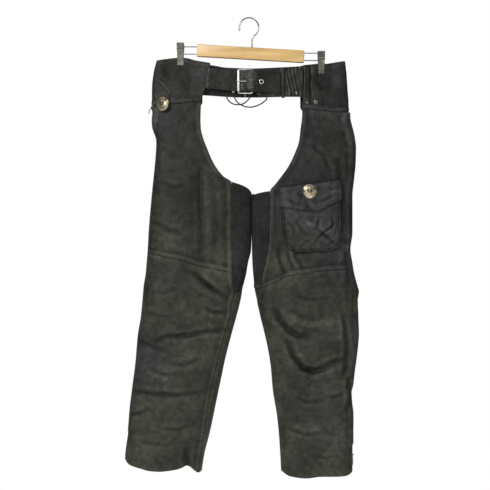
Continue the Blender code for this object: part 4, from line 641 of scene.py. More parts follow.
def leatherFinish(name):
    # blotchy colour, pebbled grain, fine cracks and worn, smoother patches
    look = finishes[name]
    made, nodes, links, shader, where = newMaterial(name)
    blotch = noiseNode(nodes, links, where, 14, 6)
    ramp = rampNode(nodes, links, blotch.outputs["Fac"], 0.36, 0.68, look["dark"], look["pale"])
    fine = noiseNode(nodes, links, where, 75, 6)
    speckle = rangeNode(nodes, links, fine.outputs["Fac"], 0.6, 1.4)
    drift = noiseNode(nodes, links, where, 3.2, 2, (-1, 1, 1))
    tint = rampNode(
        nodes, links, drift.outputs["Fac"], 0.5, 0.62, look.get("warm", (1, 1, 1)),
        look.get("cool", (1, 1, 1)),
    )
    # painted shade and highlight: the mesh's shade attribute darkens the colour in creases, dips and along
    # edges and lightens it on ridges
    crease = nodes.new("ShaderNodeAttribute")
    crease.attribute_name = "shade"
    paintedShadeFactor = nodes.new("ShaderNodeMath")
    paintedShadeFactor.operation = "MULTIPLY_ADD"
    paintedShadeFactor.inputs[1].default_value = 0.62
    paintedShadeFactor.inputs[2].default_value = 1.0
    links.new(crease.outputs["Fac"], paintedShadeFactor.inputs[0])
    both = nodes.new("ShaderNodeMath")
    both.operation = "MULTIPLY"
    links.new(paintedShadeFactor.outputs["Value"], both.inputs[0])
    links.new(speckle.outputs["Result"], both.inputs[1])
    tinted = nodes.new("ShaderNodeVectorMath")
    tinted.operation = "MULTIPLY"
    links.new(ramp.outputs["Color"], tinted.inputs[0])
    links.new(tint.outputs["Color"], tinted.inputs[1])
    shaded = nodes.new("ShaderNodeVectorMath")
    shaded.operation = "SCALE"
    links.new(tinted.outputs["Vector"], shaded.inputs[0])
    links.new(both.outputs["Value"], shaded.inputs["Scale"])
    links.new(shaded.outputs["Vector"], shader.inputs["Base Color"])
    shader.inputs["Specular IOR Level"].default_value = look.get("gloss", 0.4)
    worn = noiseNode(nodes, links, where, 42, 5)
    rough = rangeNode(nodes, links, worn.outputs["Fac"], *look["rough"])
    links.new(rough.outputs["Result"], shader.inputs["Roughness"])
    pebble = nodes.new("ShaderNodeTexVoronoi")
    pebble.inputs["Scale"].default_value = look["grain"]
    links.new(where, pebble.inputs["Vector"])
    crackle = noiseNode(nodes, links, where, 190, 8)
    mix = nodes.new("ShaderNodeMath")
    mix.operation = "MULTIPLY_ADD"
    mix.inputs[1].default_value = 1.6
    links.new(crackle.outputs["Fac"], mix.inputs[0])
    links.new(pebble.outputs["Distance"], mix.inputs[2])
    swell = noiseNode(nodes, links, where, 48, 4)
    wide = nodes.new("ShaderNodeBump")
    wide.inputs["Strength"].default_value = look.get("swell", 0.2)
    wide.inputs["Distance"].default_value = 0.006
    links.new(swell.outputs["Fac"], wide.inputs["Height"])
    bump = nodes.new("ShaderNodeBump")
    bump.inputs["Strength"].default_value = look["bump"]
    bump.inputs["Distance"].default_value = 0.0012
    links.new(mix.outputs["Value"], bump.inputs["Height"])
    links.new(wide.outputs["Normal"], bump.inputs["Normal"])
    links.new(bump.outputs["Normal"], shader.inputs["Normal"])
    return made


def metalFinish(name, dark, pale, rough, scale=120, bumpStrength=0.05, metallic=1.0):
    made, nodes, links, shader, where = newMaterial(name)
    shader.inputs["Metallic"].default_value = metallic
    tarnish = noiseNode(nodes, links, where, scale, 6)
    ramp = rampNode(nodes, links, tarnish.outputs["Fac"], 0.38, 0.62, dark, pale)
    links.new(ramp.outputs["Color"], shader.inputs["Base Color"])
    spread = rangeNode(nodes, links, tarnish.outputs["Fac"], rough[1], rough[0])
    links.new(spread.outputs["Result"], shader.inputs["Roughness"])
    scratch = noiseNode(nodes, links, where, scale * 8, 3)
    bump = nodes.new("ShaderNodeBump")
    bump.inputs["Strength"].default_value = bumpStrength
    bump.inputs["Distance"].default_value = 0.0005
    links.new(scratch.outputs["Fac"], bump.inputs["Height"])
    links.new(bump.outputs["Normal"], shader.inputs["Normal"])
    return made


def woodFinish(name, dark, pale):
    # long grain along the bar, with fine pores
    made, nodes, links, shader, where = newMaterial(name)
    grain = noiseNode(nodes, links, where, 60, 8, (0.09, 1.0, 1.0))
    ramp = rampNode(nodes, links, grain.outputs["Fac"], 0.32, 0.70, dark, pale)
    links.new(ramp.outputs["Color"], shader.inputs["Base Color"])
    rough = rangeNode(nodes, links, grain.outputs["Fac"], 0.34, 0.48)
    links.new(rough.outputs["Result"], shader.inputs["Roughness"])
    shader.inputs["Coat Weight"].default_value = 0.35
    shader.inputs["Coat Roughness"].default_value = 0.25
    bump = nodes.new("ShaderNodeBump")
    bump.inputs["Strength"].default_value = 0.15
    bump.inputs["Distance"].default_value = 0.0005
    links.new(grain.outputs["Fac"], bump.inputs["Height"])
    links.new(bump.outputs["Normal"], shader.inputs["Normal"])
    return made


hide, strapLeather, laceLeather, hipLace, stretchCloth, rawEdge, thread, tape = (
    leatherFinish(name) for name in finishes
)
nickel = metalFinish("nickel", (0.42, 0.40, 0.37), (0.66, 0.64, 0.60), (0.16, 0.34))
antique = metalFinish("antiqueConcho", (0.16, 0.13, 0.08), (0.46, 0.42, 0.30), (0.26, 0.46), 160, 0.12)
chrome = metalFinish("chromeWire", (0.16, 0.16, 0.155), (0.30, 0.30, 0.29), (0.16, 0.3))
clipSteel = metalFinish("clipSteel", (0.095, 0.09, 0.078), (0.17, 0.16, 0.138), (0.28, 0.45), 90)
wireSteel = metalFinish("wireSteel", (0.10, 0.10, 0.10), (0.22, 0.22, 0.22), (0.25, 0.4), 120)
rivetBrass = metalFinish("rivetBrass", (0.10, 0.075, 0.055), (0.22, 0.17, 0.12), (0.35, 0.5), 200)
gunmetal = metalFinish("zipMetal", (0.20, 0.20, 0.20), (0.36, 0.36, 0.35), (0.3, 0.45), 300)
pine = woodFinish("honeyPine", (0.38, 0.22, 0.068), (0.55, 0.38, 0.155))
# a darker copy of the pine: painted shade for the bar's underside
shadedPine = woodFinish("pineUndersidePaintedShade", (0.14, 0.055, 0.014), (0.26, 0.12, 0.035))
print("finishes made")


# Mesh helpers.
def addPiece(name, mesh, finish, body="garment", nodes=(), sharp=38):
    thing = bpy.data.objects.new(name, mesh)
    bpy.context.collection.objects.link(thing)
    for one in finish if isinstance(finish, (list, tuple)) else [finish]:
        mesh.materials.append(one)
    mesh.shade_smooth()
    if sharp:
        mesh.set_sharp_from_angle(angle=math.radians(sharp))
    return finishPiece(thing, body, nodes)


def finishPiece(thing, body="garment", nodes=()):
    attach(thing, body)
    if nodes:
        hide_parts(*nodes)
    return thing


def shellMesh(name, low, high, holes=None, edgeMark=None, shade=None):
    # a closed shell between two nets of points; shade darkens its hollows and lightens its ridges
    rows, columns = low.shape[:2]
    keep = np.ones((rows - 1, columns - 1), bool) if holes is None else ~holes
    number = np.arange(rows * columns).reshape(rows, columns)
    a, b = number[:-1, :-1][keep], number[:-1, 1:][keep]
    c, d = number[1:, 1:][keep], number[1:, :-1][keep]
    lift = rows * columns
    faces = [*zip(a, b, c, d), *zip(d + lift, c + lift, b + lift, a + lift)]
    marks = [0] * len(faces)
    padded = np.pad(keep, 1)
    for i, j in zip(*np.nonzero(keep)):
        corner = (number[i, j], number[i, j + 1], number[i + 1, j + 1], number[i + 1, j])
        open4 = (padded[i, j + 1], padded[i + 1, j + 2], padded[i + 2, j + 1], padded[i + 1, j])
        for k in range(4):
            if not open4[k]:
                p, q = corner[k], corner[(k + 1) % 4]
                faces.append((q, p, p + lift, q + lift))
                marks.append(edgeMark(i, j, k) if edgeMark else 0)
    mesh = bpy.data.meshes.new(name)
    points = np.concatenate([low.reshape(-1, 3), high.reshape(-1, 3)])
    mesh.from_pydata(points.tolist(), [], [[int(v) for v in face] for face in faces])
    mesh.polygons.foreach_set("material_index", marks)
    if shade is not None:
        tone = mesh.attributes.new("shade", "FLOAT", "POINT")
        tone.data.foreach_set("value", np.tile(np.clip(shade, -1, 1).ravel(), 2).astype(np.float32))
    made = bmesh.new()
    made.from_mesh(mesh)
    loose = [vert for vert in made.verts if not vert.link_faces]
    bmesh.ops.delete(made, geom=loose, context="VERTS")
    bmesh.ops.recalc_face_normals(made, faces=made.faces)
    made.to_mesh(mesh)
    made.free()
    return mesh


def seamLift(distance, lap, width=9.0):
    # a lapped, topstitched edge: raised for the lap's width and pulled down along its stitching
    raised = lap * (1 - ease((distance - width) / 2.2))
    dip = 0.35 * np.exp(-(((distance - 4.0) / 1.0) ** 2)) + 0.35 * np.exp(-(((distance - 8.0) / 1.0) ** 2))
    return raised - dip


def edgeRound(distance, wall):
    return wall * (1 - 0.45 * np.exp(-((distance / 0.9) ** 2)))


def netDistances(points):
    # how far each point of a net is from its top, bottom, left and right edges, in millimetres
    down = np.linalg.norm(np.diff(points, axis=0), axis=-1)
    fromTop = np.vstack([np.zeros((1, points.shape[1])), np.cumsum(down, axis=0)])
    across = np.linalg.norm(np.diff(points, axis=1), axis=-1)
    fromLeft = np.hstack([np.zeros((points.shape[0], 1)), np.cumsum(across, axis=1)])
    return fromTop, fromTop[-1:] - fromTop, fromLeft, fromLeft[:, -1:] - fromLeft


def offsetLine(points, distance, away, axis):
    # the line across a net that keeps one distance from an edge
    lines = []
    count = points.shape[1 - axis]
    for k in range(count):
        spots_ = points[:, k] if axis == 0 else points[k]
        gaps = distance[:, k] if axis == 0 else distance[k]
        order = np.argsort(gaps)
        lines.append([np.interp(away, gaps[order], spots_[order, c]) for c in range(3)])
    return np.array(lines)


stitchLook = {"long": 2.7, "pitch": 3.7, "thick": 0.55}


def stitchesAlong(lines, look=stitchLook):
    # every stitch is a small lens of thread lying on its line
    points, faces = [], []
    for line in lines:
        gaps = np.linalg.norm(np.diff(line, axis=0), axis=1)
        along = np.concatenate([[0], np.cumsum(gaps)])
        total = along[-1]
        count = int(total / (look["pitch"] * mm))
        for n in range(count):
            middle = (n + 0.5) * total / count
            ends = []
            for way in (-0.5, -0.3, 0.3, 0.5):
                at = middle + way * look["long"] * mm
                ends.append(np.array([np.interp(at, along, line[:, k]) for k in range(3)]))
            run = ends[3] - ends[0]
            length = np.linalg.norm(run)
            if length < 0.4 * mm:
                continue
            run /= length
            side = np.cross(run, (0.31, 0.87, 0.38))
            side /= np.linalg.norm(side)
            other = np.cross(run, side)
            first = len(points)
            points.append(ends[0])
            for end in ends[1:3]:
                for k in range(5):
                    turn = 2 * math.pi * k / 5
                    points.append(
                        end + look["thick"] / 2 * mm * (side * math.cos(turn) + other * math.sin(turn))
                    )
            points.append(ends[3])
            for k in range(5):
                k2 = (k + 1) % 5
                faces.append((first, first + 1 + k2, first + 1 + k))
                faces.append((first + 1 + k, first + 1 + k2, first + 6 + k2, first + 6 + k))
                faces.append((first + 6 + k, first + 6 + k2, first + 11))
    return points, faces


def addStitches(name, lines, body="garment", look=stitchLook):
    points, faces = stitchesAlong(lines, look)
    mesh = bpy.data.meshes.new(name)
    mesh.from_pydata([tuple(p) for p in points], [], faces)
    return addPiece(name, mesh, thread, body, sharp=None)


class Sheet:
    # a leather or cloth piece on a leg: its net of angles and drops, its faces and its edges
    def __init__(self, leg, left, right, rows, shares, inset=(0.15, 0.15), openTop=False, columns=None):
        self.leg = leg
        if columns is None:
            columns = [between(left, right, share) for share in shares]
        found = [spots(leg, column, rows, share) for column, share in zip(columns, shares)]
        self.theta = np.array([f[0] for f in found]).T
        self.drop = np.array([f[1] for f in found]).T
        if not openTop:
            self.drop[0] += seam / 2
        self.drop[-1] -= seam / 2
        share = np.asarray(shares)[None]
        move = inset[0] * (1 - share) - inset[1] * share
        self.theta = leg.around(self.theta, self.drop, move, 2)
        self.middle = leg.skin(self.theta, self.drop, np.zeros(self.theta.shape))
        gaps = netDistances(self.middle / mm)
        self.top, self.bottom, self.left, self.right = gaps
        self.near = np.minimum(np.minimum(self.top, self.bottom), np.minimum(self.left, self.right))

    def build(
        self, name, node, under, over, finish, edgeMark=None,
        shadeShift=0.0,
    ):
        # this piece's offset is added to the painted shade that the mesh carries
        self.low = self.leg.skin(self.theta, self.drop, under + 0 * self.drop)
        self.high = self.leg.skin(self.theta, self.drop, over + 0 * self.drop)
        mesh = shellMesh(name, self.low, self.high, edgeMark=edgeMark, shade=self.shade(over, under) + shadeShift)
        thing = addPiece(name, mesh, finish, nodes=(node,) if node else ())
        declareSheet(thing, self.middle)
        self.piece = thing
        return thing

    def shade(self, over, under):
        # painted shade in creases, dents, wave troughs, stitched dips and along the edges, and painted
        # highlight on crease shoulders, wave crests and raised laps
        leg = self.leg
        u = leg.u(self.theta, self.drop)
        front = np.sin(self.theta) > 0
        tone = -leg.crease(u, self.drop, front) / 1.9 - 0.16 * softWaves(u, self.drop, front)
        tone -= leg.dent(u, self.drop, front) / 16
        height = over - under + 0 * self.drop
        around = height.copy()
        for _ in range(6):
            around[1:-1] = (around[:-2] + around[1:-1] + around[2:]) / 3
            around[:, 1:-1] = (around[:, :-2] + around[:, 1:-1] + around[:, 2:]) / 3
        return tone + 2.4 * np.clip(height - around, -0.5, 0.2) - 0.9 * np.exp(-((self.near / 1.3) ** 2))

    def line(self, edge, away, first=0.0, last=1.0):
        # a stitching line at a distance from one edge, over part of its length
        axis = 0 if edge in ("top", "bottom") else 1
        found = offsetLine(self.high, getattr(self, edge), away, axis)
        count = len(found)
        return found[int(first * count): max(int(last * count), 2)]


def declareSheet(thing, net):
    wide = np.median(np.linalg.norm(np.diff(net, axis=1), axis=-1).sum(axis=1))
    long = np.median(np.linalg.norm(np.diff(net, axis=0), axis=-1).sum(axis=0))
    wide, long = round(float(max(wide, 0.01)), 3), round(float(max(long, 0.01)), 3)


def placesBetween(first, last, count, near=(0.0, 0.0015, 0.0045)):
    share = withEdges(count, near)
    return [first + (last - first) * s for s in share]


legCuts = {
    "right": {
        "frontEdge": rightFrontEdge, "backEdge": rightBackEdge, "tip": rightTip,
        "stretchTop": rightStretchTop, "zip": -31.0, "flapFront": -1.0,
        "flapColumns": (-47.0, -29.0, -16.0, -7.0),
    },
    "left": {
        "frontEdge": leftFrontEdge, "backEdge": leftBackEdge, "tip": leftTip, "inseam": leftInseam,
        "stretchTop": leftStretchTop, "zip": -11.0, "flapFront": 26.0,
        "flapColumns": (-26.0, -14.0, -5.0),
    },
}


def makeLeg(leg, cut):
    word = leg.word
    frontInner, backInner = innerFrontEdge(leg, cut), innerBackEdge(leg, cut)
    zipFront = roundFromFold(leg, cut["zip"] + zipHalf)
    zipBack = roundFromFold(leg, cut["zip"] - zipHalf)
    topDrop = cut["stretchTop"][0][1]

    def rawOpening(sheet, fromDrop):
        # the cut edge of the opening shows the hide's red-brown core
        def mark(i, j, k):
            inside = fromDrop < sheet.drop[i, j] < topDrop - 1
            return 1 if k == 1 and inside else 0
        return mark

    sheets = {}
    frontShares, backShares = withEdges(58), withEdges(52)
    for part, first, last, count in (("thigh", 1, 2, 112), ("shin", 2, 3, 146)):
        sheet = Sheet(leg, zipFront, frontInner, placesBetween(first, last, count), frontShares)
        lap = seamLift(sheet.right, 0.9) + seamLift(sheet.left, 0.6)
        if part == "thigh":
            lap = lap + seamLift(sheet.bottom, 1.1)
        over = edgeRound(sheet.near, leather) + lap
        mark = rawOpening(sheet, 250) if part == "thigh" else None
        name = f"{word}{part.capitalize()}FrontLeather"
        # the colour darker down to 500 mm, fading out by 650 mm
        upper = -0.62 * (1 - ease((sheet.drop - 500) / 150))
        sheet.build(
            name, f"{word}_{part}_front", 0.0, over, [hide, rawEdge], mark,
            shadeShift=upper,
        )
        sheets[part + "Front"] = sheet
    for part, node, first, last, count in (
        ("thigh", "thigh_back", 1, 2, 104), ("calf", "calf_back", 2, 3, 128),
    ):
        sheet = Sheet(leg, backInner, zipBack, placesBetween(first, last, count), backShares)
        lap = seamLift(sheet.right, 0.6)
        if part == "thigh":
            lap = lap + seamLift(sheet.bottom, 1.1)
        over = edgeRound(sheet.near, leather) + lap
        name = f"{word}{part.capitalize()}BackLeather"
        # the colour darker down to 500 mm, fading out by 650 mm
        upper = -0.62 * (1 - ease((sheet.drop - 500) / 150))
        sheet.build(name, f"{word}_{node}", 0.0, over, [hide, rawEdge], shadeShift=upper)
        sheets[part + "Back"] = sheet
    yoke = Sheet(
        leg, backInner, frontInner, placesBetween(0, 1, 44, (0.0, 0.006, 0.018)),
        withEdges(118, (0.0, 0.0013, 0.004)),
    )
    over = edgeRound(yoke.near, leather) + seamLift(yoke.bottom, 1.0) + seamLift(yoke.top, 0.5, 11)
    # the yoke's colour darker all over
    yoke.build(
        f"{word}YokeLeather", f"{word}_yoke", 0.0, over, [hide, rawEdge],
        shadeShift=-0.75,
    )
    sheets["yoke"] = yoke
    print(f"{word} leather done")

    def dropShare(sheet, drop, column=-1):
        return float(np.interp(drop, sheet.drop[:, column], np.linspace(0, 1, len(sheet.drop))))

    thigh, shin = sheets["thighFront"], sheets["shinFront"]
    addStitches(f"{word}SeamStitching", [
        thigh.line("bottom", 4.0), thigh.line("bottom", 8.0),
        sheets["thighBack"].line("bottom", 4.0), sheets["thighBack"].line("bottom", 8.0),
        yoke.line("bottom", 4.0), yoke.line("bottom", 8.0), yoke.line("top", 5.0),
    ])
    addStitches(f"{word}EdgeStitching", [
        thigh.line("right", 4.0), thigh.line("right", 8.0, dropShare(thigh, topDrop), 1.0),
        shin.line("right", 4.0), shin.line("right", 8.0),
        sheets["thighBack"].line("left", 4.0), sheets["calfBack"].line("left", 4.0, 0.0, 0.2),
        yoke.line("left", 4.0), yoke.line("right", 4.0),
    ])
    makeAllowances(leg, cut, frontInner, backInner)
    makeStretch(leg, cut, frontInner, backInner)
    makeZipSide(leg, cut)
    return sheets


allowanceLook = {"half": 6.0, "wall": 0.85, "under": 0.12}


def makeAllowances(leg, cut, frontInner, backInner):
    # the turned edges behind every seam, which close it from inside
    half, word = allowanceLook["half"], leg.word
    offsets = np.linspace(-half, half, 5)
    nets = {}
    for part, place in (("Yoke", 1.0), ("Knee", 2.0)):
        rows = [(place, offset) for offset in offsets]
        found = [
            spots(
                leg, between(backInner, frontInner, share), rows, share,
            ) for share in np.linspace(0, 1, 90)
        ]
        nets[part] = (np.array([f[0] for f in found]).T, np.array([f[1] for f in found]).T)
    hem = float(spots(leg, frontInner, [3.0], 0.0)[1][0]) - 4.0
    yokeLine = float(spots(leg, roundFromFold(leg, cut["zip"]), [1.0], 0.0)[1][0]) + 4.0
    zipHem = float(spots(leg, roundFromFold(leg, cut["zip"]), [3.0], 0.0)[1][0]) - 4.0
    edges = {
        "Inseam": (frontInner, cut["stretchTop"][0][1] + 5.0, hem),
        "StretchBack": (backInner, cut["stretchTop"][-1][1] + 5.0, cut["tip"]["tip"]),
        "ZipFront": (roundFromFold(leg, cut["zip"] + zipHalf), yokeLine, zipHem),
        "ZipBack": (roundFromFold(leg, cut["zip"] - zipHalf), yokeLine, zipHem),
    }
    for part, (column, first, last) in edges.items():
        drop = np.arange(first, last, 5.0)[:, None] + 0 * offsets[None]
        theta = column(drop[:, 0])[:, None] + 0 * drop
        nets[part] = (leg.around(theta, drop, offsets[None] + 0 * drop, 6), drop)
    for part, (theta, drop) in nets.items():
        low = leg.skin(theta, drop, -allowanceLook["wall"] - allowanceLook["under"] + 0 * drop)
        high = leg.skin(theta, drop, -allowanceLook["under"] + 0 * drop)
        name = f"{word}{part}Allowance"
        declareSheet(
            addPiece(name, shellMesh(name, low, high), hide), high,
        )


stretchLook = {"pitch": 4.5, "rise": 1.15, "wall": 1.3}


def makeStretch(leg, cut, frontInner, backInner):
    # close ribs that run straight down, cut off on the slant by the two seams
    top = through(cut["stretchTop"])
    end = cut["tip"]["tip"] - 8.0
    shares = withEdges(150, (0.0, 0.004, 0.01))
    downs = withEdges(66, (0.0, 0.004, 0.012))
    rows = [lambda share, down=down: top(share) * (1 - down) + end * down for down in downs]
    sheet = Sheet(
        leg, frontInner, lambda drop: backInner(drop) + 2 * math.pi, rows, shares, (0.3, 0.7), True,
    )
    fold = np.array([
        np.interp(math.pi, theta, gone) for theta, gone in zip(sheet.theta, sheet.left)
    ])[:, None]
    phase = (sheet.left - fold) / stretchLook["pitch"]
    wave = (0.5 + 0.5 * np.cos(2 * math.pi * phase)) ** 0.75
    sway = 0.12 * np.sin(sheet.drop / 13.0 + phase)
    over = edgeRound(sheet.near, stretchLook["wall"]) + (
        stretchLook["rise"] * wave + sway
    ) * ease(sheet.near / 1.5)
    hem = 0.5 * np.exp(-((sheet.top - 5.5) / 1.1) ** 2)
    # painted shade in the rib troughs and painted highlight on the rib crests
    sheet.build(
        f"{leg.word}StretchRibbed", f"{leg.word}_stretch_panel", 0.0, over - hem, stretchCloth,
        shadeShift=1.5 * (wave - 0.45),
    )
    addStitches(f"{leg.word}StretchStitching", [sheet.line("top", 5.5)])
    print(f"{leg.word} stretch panel done")


toothLook = {"pitch": 2.6, "wide": 3.2, "tall": 1.3, "thick": 1.5}


def makeZipSide(leg, cut):
    # the tape and its teeth behind the outer fold, under a long flap
    word = leg.word
    reaches = np.linspace(-zipHalf, zipHalf, 14)
    columns = [roundFromFold(leg, cut["zip"] + reach) for reach in reaches]
    places = placesBetween(1, 3, 190, (0.0, 0.0008))
    tapeSheet = Sheet(leg, None, None, places, (reaches + zipHalf) / (2 * zipHalf), columns=columns)
    across = (tapeSheet.left - tapeSheet.right) / 2
    over = 0.8 + 0.5 * np.exp(-((np.abs(across) - 2.6) / 1.0) ** 2)
    tapeSheet.build(
        f"{word}ZipTape", f"{word}_zip", 0.0, edgeRound(tapeSheet.near, over), tape,
    )
    middle = roundFromFold(leg, cut["zip"])
    endPlace = 2 + (1097 - 620) / (1150 - 620)
    firstDrop = float(spots(leg, middle, [1.0], 0.0)[1][0]) + 3
    lastDrop = float(spots(leg, middle, [endPlace], 0.0)[1][0])
    drops = np.arange(firstDrop, lastDrop, toothLook["pitch"] / 2)
    theta = middle(drops)
    here = leg.skin(theta, drops, np.full(len(drops), 1.0))
    out = leg.skin(theta, drops, np.full(len(drops), 2.0)) - here
    out /= np.linalg.norm(out, axis=1, keepdims=True)
    down = np.gradient(here, axis=0)
    down /= np.linalg.norm(down, axis=1, keepdims=True)
    side = np.cross(down, out)
    points, faces = [], []
    half = toothLook["tall"] / 2
    for number in range(len(drops)):
        way = 1 if number % 2 else -1
        first = len(points)
        for lift, tall, reach in ((0.0, half, 1.0), (0.75, half * 0.85, 0.9)):
            for a, d in (
                (-0.55, -tall), (2.7 * reach, -tall * 0.8), (2.7 * reach, tall * 0.8), (-0.55, tall),
            ):
                spot = here[number] + mm * (
                    side[number] * way * a + down[number] * d + out[number] * (lift * toothLook["thick"])
                )
                points.append(tuple(spot))
        ring = [first, first + 1, first + 2, first + 3]
        ring = ring if way > 0 else ring[::-1]
        faces.append(tuple(ring))
        upper = [v + 4 for v in ring]
        faces.append(tuple(upper[::-1]))
        for k in range(4):
            k2 = (k + 1) % 4
            faces.append((ring[k2], ring[k], upper[k], upper[k2]))
    mesh = bpy.data.meshes.new(f"{word}ZipTeeth")
    mesh.from_pydata(points, [], faces)
    cleanNormals(mesh)
    addPiece(f"{word}ZipTeeth", mesh, gunmetal)
    makeZipFlap(leg, cut)


def cleanNormals(mesh):
    made = bmesh.new()
    made.from_mesh(mesh)
    bmesh.ops.recalc_face_normals(made, faces=made.faces)
    made.to_mesh(mesh)
    made.free()


flapLook = {"wall": 1.6, "low": 3.1, "swell": 1.6, "roundEnd": 14.0}


def makeZipFlap(leg, cut):
    word = leg.word
    outer = np.array([0.0])
    top = float(leg.level(np.array([1.0]), outer)[0])
    lean = through(flapLean) if cut["flapFront"] < 0 else straight(((0, 0), (1, 0)))
    fixed = cut["flapColumns"]

    def frontReach(drop):
        corner = ease((drop - top - 2.0) / flapLook["roundEnd"])
        return cut["flapFront"] + lean(drop) - 9.0 * (1 - corner)

    total = cut["flapFront"] - fixed[0]
    backPart = (fixed[-1] - fixed[0]) / total
    shares = withEdges(24, (0.0, 0.012, 0.035))
    columns = []
    for share in shares:
        if share < backPart:
            columns.append(roundFromFold(leg, fixed[0] + share * total))
        else:
            part = (share - backPart) / (1 - backPart)
            columns.append(
                roundFromFold(leg, lambda drop, part=part: fixed[-1] * (1 - part) + frontReach(drop) * part)
            )
    end = 2 + flapEnd
    downs = withEdges(200, (0.0, 0.0008, 0.0024))
    rows = [(1 + down * (end - 1), 2.0 * (1 - down)) for down in downs]
    sheet = Sheet(leg, None, None, rows, shares, columns=columns)
    swell = flapLook["swell"] * (1 - ease((sheet.drop - 325) / 40))
    close = np.minimum(ease((sheet.right - 2) / 13), ease((sheet.left - 2) / 8))
    low = 2.05 + (flapLook["low"] + swell - 2.05) * close
    lines = np.zeros(sheet.drop.shape)
    for away, depth, wide in ((4.0, 0.35, 1.0), (9.0, 0.35, 1.0), (16.0, 0.7, 3.5)):
        lines += depth * np.exp(-((sheet.right - away) / wide) ** 2)
    ripple = 0.35 * np.sin(sheet.drop / 11.0 + sheet.left / 9.0) * np.exp(-((sheet.drop - 880) / 160) ** 2)
    over = low + edgeRound(sheet.near, flapLook["wall"]) - lines * 0.6 + ripple * ease(sheet.near / 6)
    sheet.build(
        f"{word}ZipFlapLeather", f"{word}_zip_flap", low, over, hide,
    )
    addStitches(f"{word}FlapStitching", [sheet.line("right", 4.0), sheet.line("right", 9.0)])
    print(f"{word} zip side done")


makeLeg(rightLeg, legCuts["right"])
makeLeg(leftLeg, legCuts["left"])


# The patch pocket on the left thigh: a boxed bag with a gusset, and a pointed flap over its mouth.
pocketLook = {"floor": 2.3, "rim": 11.8, "wall": 1.5, "gusset": 7.2}
pocketCreases = (
    # depth, width, points of (u, drop)
    (2.4, 5, ((168, 568), (186, 548), (208, 530), (217, 524))),
    (2.2, 5, ((217, 576), (200, 560), (186, 548), (172, 536))),
    (1.6, 5, ((169, 538), (174, 522), (179, 508))),
    (1.6, 5, ((209, 508), (211, 522), (207, 540))),
    (1.4, 5, ((220, 503), (221, 524), (216, 548))),
    (1.2, 4, ((128, 580), (142, 570), (158, 562))),
    (-1.8, 8, ((144, 514), (152, 524), (163, 530))),
    (1.2, 5, ((100, 520), (112, 536), (118, 560))),
    (1.0, 4, ((190, 580), (204, 572), (222, 560))),
    (1.3, 5, ((122, 520), (134, 540), (150, 556))),
    (-1.3, 8, ((180, 560), (196, 566), (212, 556))),
)
flapCreases = (
    (1.5, 6, ((176, 470), (196, 462), (219, 448))),
    (1.2, 6, ((98, 462), (112, 472), (132, 478))),
    (1.3, 7, ((122, 440), (132, 456), (128, 476))),
    (-1.6, 9, ((150, 466), (160, 478), (168, 486))),
    (1.0, 5, ((196, 430), (212, 436), (224, 430))),
)


def outlineDistance(u, drop, outline):
    best = np.full(np.shape(u), 1e9)
    for a, b in zip(outline, outline[1:]):
        best = np.minimum(best, awayFrom(u, drop, (a, b))[0])
    return best


def creaseSum(u, drop, creases):
    total = np.zeros(np.shape(u))
    for depth, width, points in creases:
        away, along = awayFrom(u, drop, points)
        fade = np.sqrt(np.clip(np.sin(math.pi * np.clip(along, 0.02, 0.98)), 0, 1))
        width = 0.68 * width
        total += depth * fade * (
            np.exp(-((away / width) ** 2)) - 0.5 * np.exp(-((away - 2.0 * width) / width) ** 2)
        )
    return total


def makePocket():
    leg = leftLeg
    left, right = through(pocketLeft), through(pocketRight)
    top, bottom = straight(pocketTop), straight(pocketBottom)
    down = np.concatenate(
        [
            np.linspace(0, 0.88, 40),
            1 - np.array([14, 11, 9, 8, 7.4, 6.8, 6, 4.6, 3.4, 2.4, 1.6, 1.0, 0.5, 0.15, 0]) / 150,
        ]
    )
    side = np.array([0, 0.15, 0.5, 1.0, 1.6, 2.4, 3.4, 4.6, 6, 6.8, 7.4, 8, 9, 11, 14]) / 150
    across = np.concatenate([side, np.linspace(0.12, 0.88, 42), 1 - side[::-1]])
    r, c = np.meshgrid(down, across, indexing="ij")
    guess = 80.0 + c * 150.5
    drop = top(guess) + r * (bottom(guess) - top(guess))
    u = left(drop) + c * (right(drop) - left(drop))
    walls = [(float(left(d)), float(d)) for d in np.linspace(420, 597.5, 50)]
    low = [(float(x), float(bottom(x))) for x in np.linspace(113, 200, 12)]
    other = [(float(right(d)), float(d)) for d in np.linspace(594, 400, 50)]
    away = outlineDistance(u, drop, walls + low + other)
    p = pocketLook
    rise = p["rim"] - p["floor"] - 1.4
    lift = p["floor"] + rise * ease(away / 2.6) ** 0.6
    lift += 1.4 * ease((away - p["gusset"] + 0.9) / 1.3)
    lift -= 0.9 * np.exp(-((away - p["gusset"] + 1.0) / 0.8) ** 2)
    lift -= 0.35 * np.exp(-((away - p["gusset"] - 3.4) / 0.9) ** 2)
    body = ease((away - 9) / 22)
    lift += body * (1.2 + 0.5 * np.sin(u / 19.0 + drop / 23.0) + 0.3 * np.sin(u / 8.0 - drop / 11.0))
    lift -= 1.35 * creaseSum(u, drop, pocketCreases) * ease((away - 6) / 7)
    high = leg.skin(leg.front(u, drop), drop, lift)
    low = inwards(high, p["wall"])
    # painted shade in the creases with a painted highlight on their shoulders, painted shade along the
    # gusset fold and the outer edge, and a painted shadow of the flap just below its tip
    tone = -creaseSum(u, drop, pocketCreases) / 1.5 - 1.3 * np.exp(
        -((away - p["gusset"] + 0.6) / 1.5) ** 2
    ) - 1.2 * np.exp(-((away / 2.4) ** 2))
    tone -= 1.3 * np.exp(-(((drop - through(pocketFlapTip)(u) - 1.0) / 2.6) ** 2))
    mesh = shellMesh("pocketBag", low, high, shade=tone)
    bag = addPiece("pocketBag", mesh, [hide, rawEdge], nodes=("left_pocket",))
    declareSheet(bag, high)
    lines = []
    for gap in (p["gusset"] + 3.4,):
        lines.append(contourOn(leg, walls[12:] + low0(bottom) + other[:-12], gap, lift, u, drop))
    addStitches("pocketStitching", lines)
    makePocketFlap()


def low0(bottom):
    return [(float(x), float(bottom(x))) for x in np.linspace(116, 198, 10)]


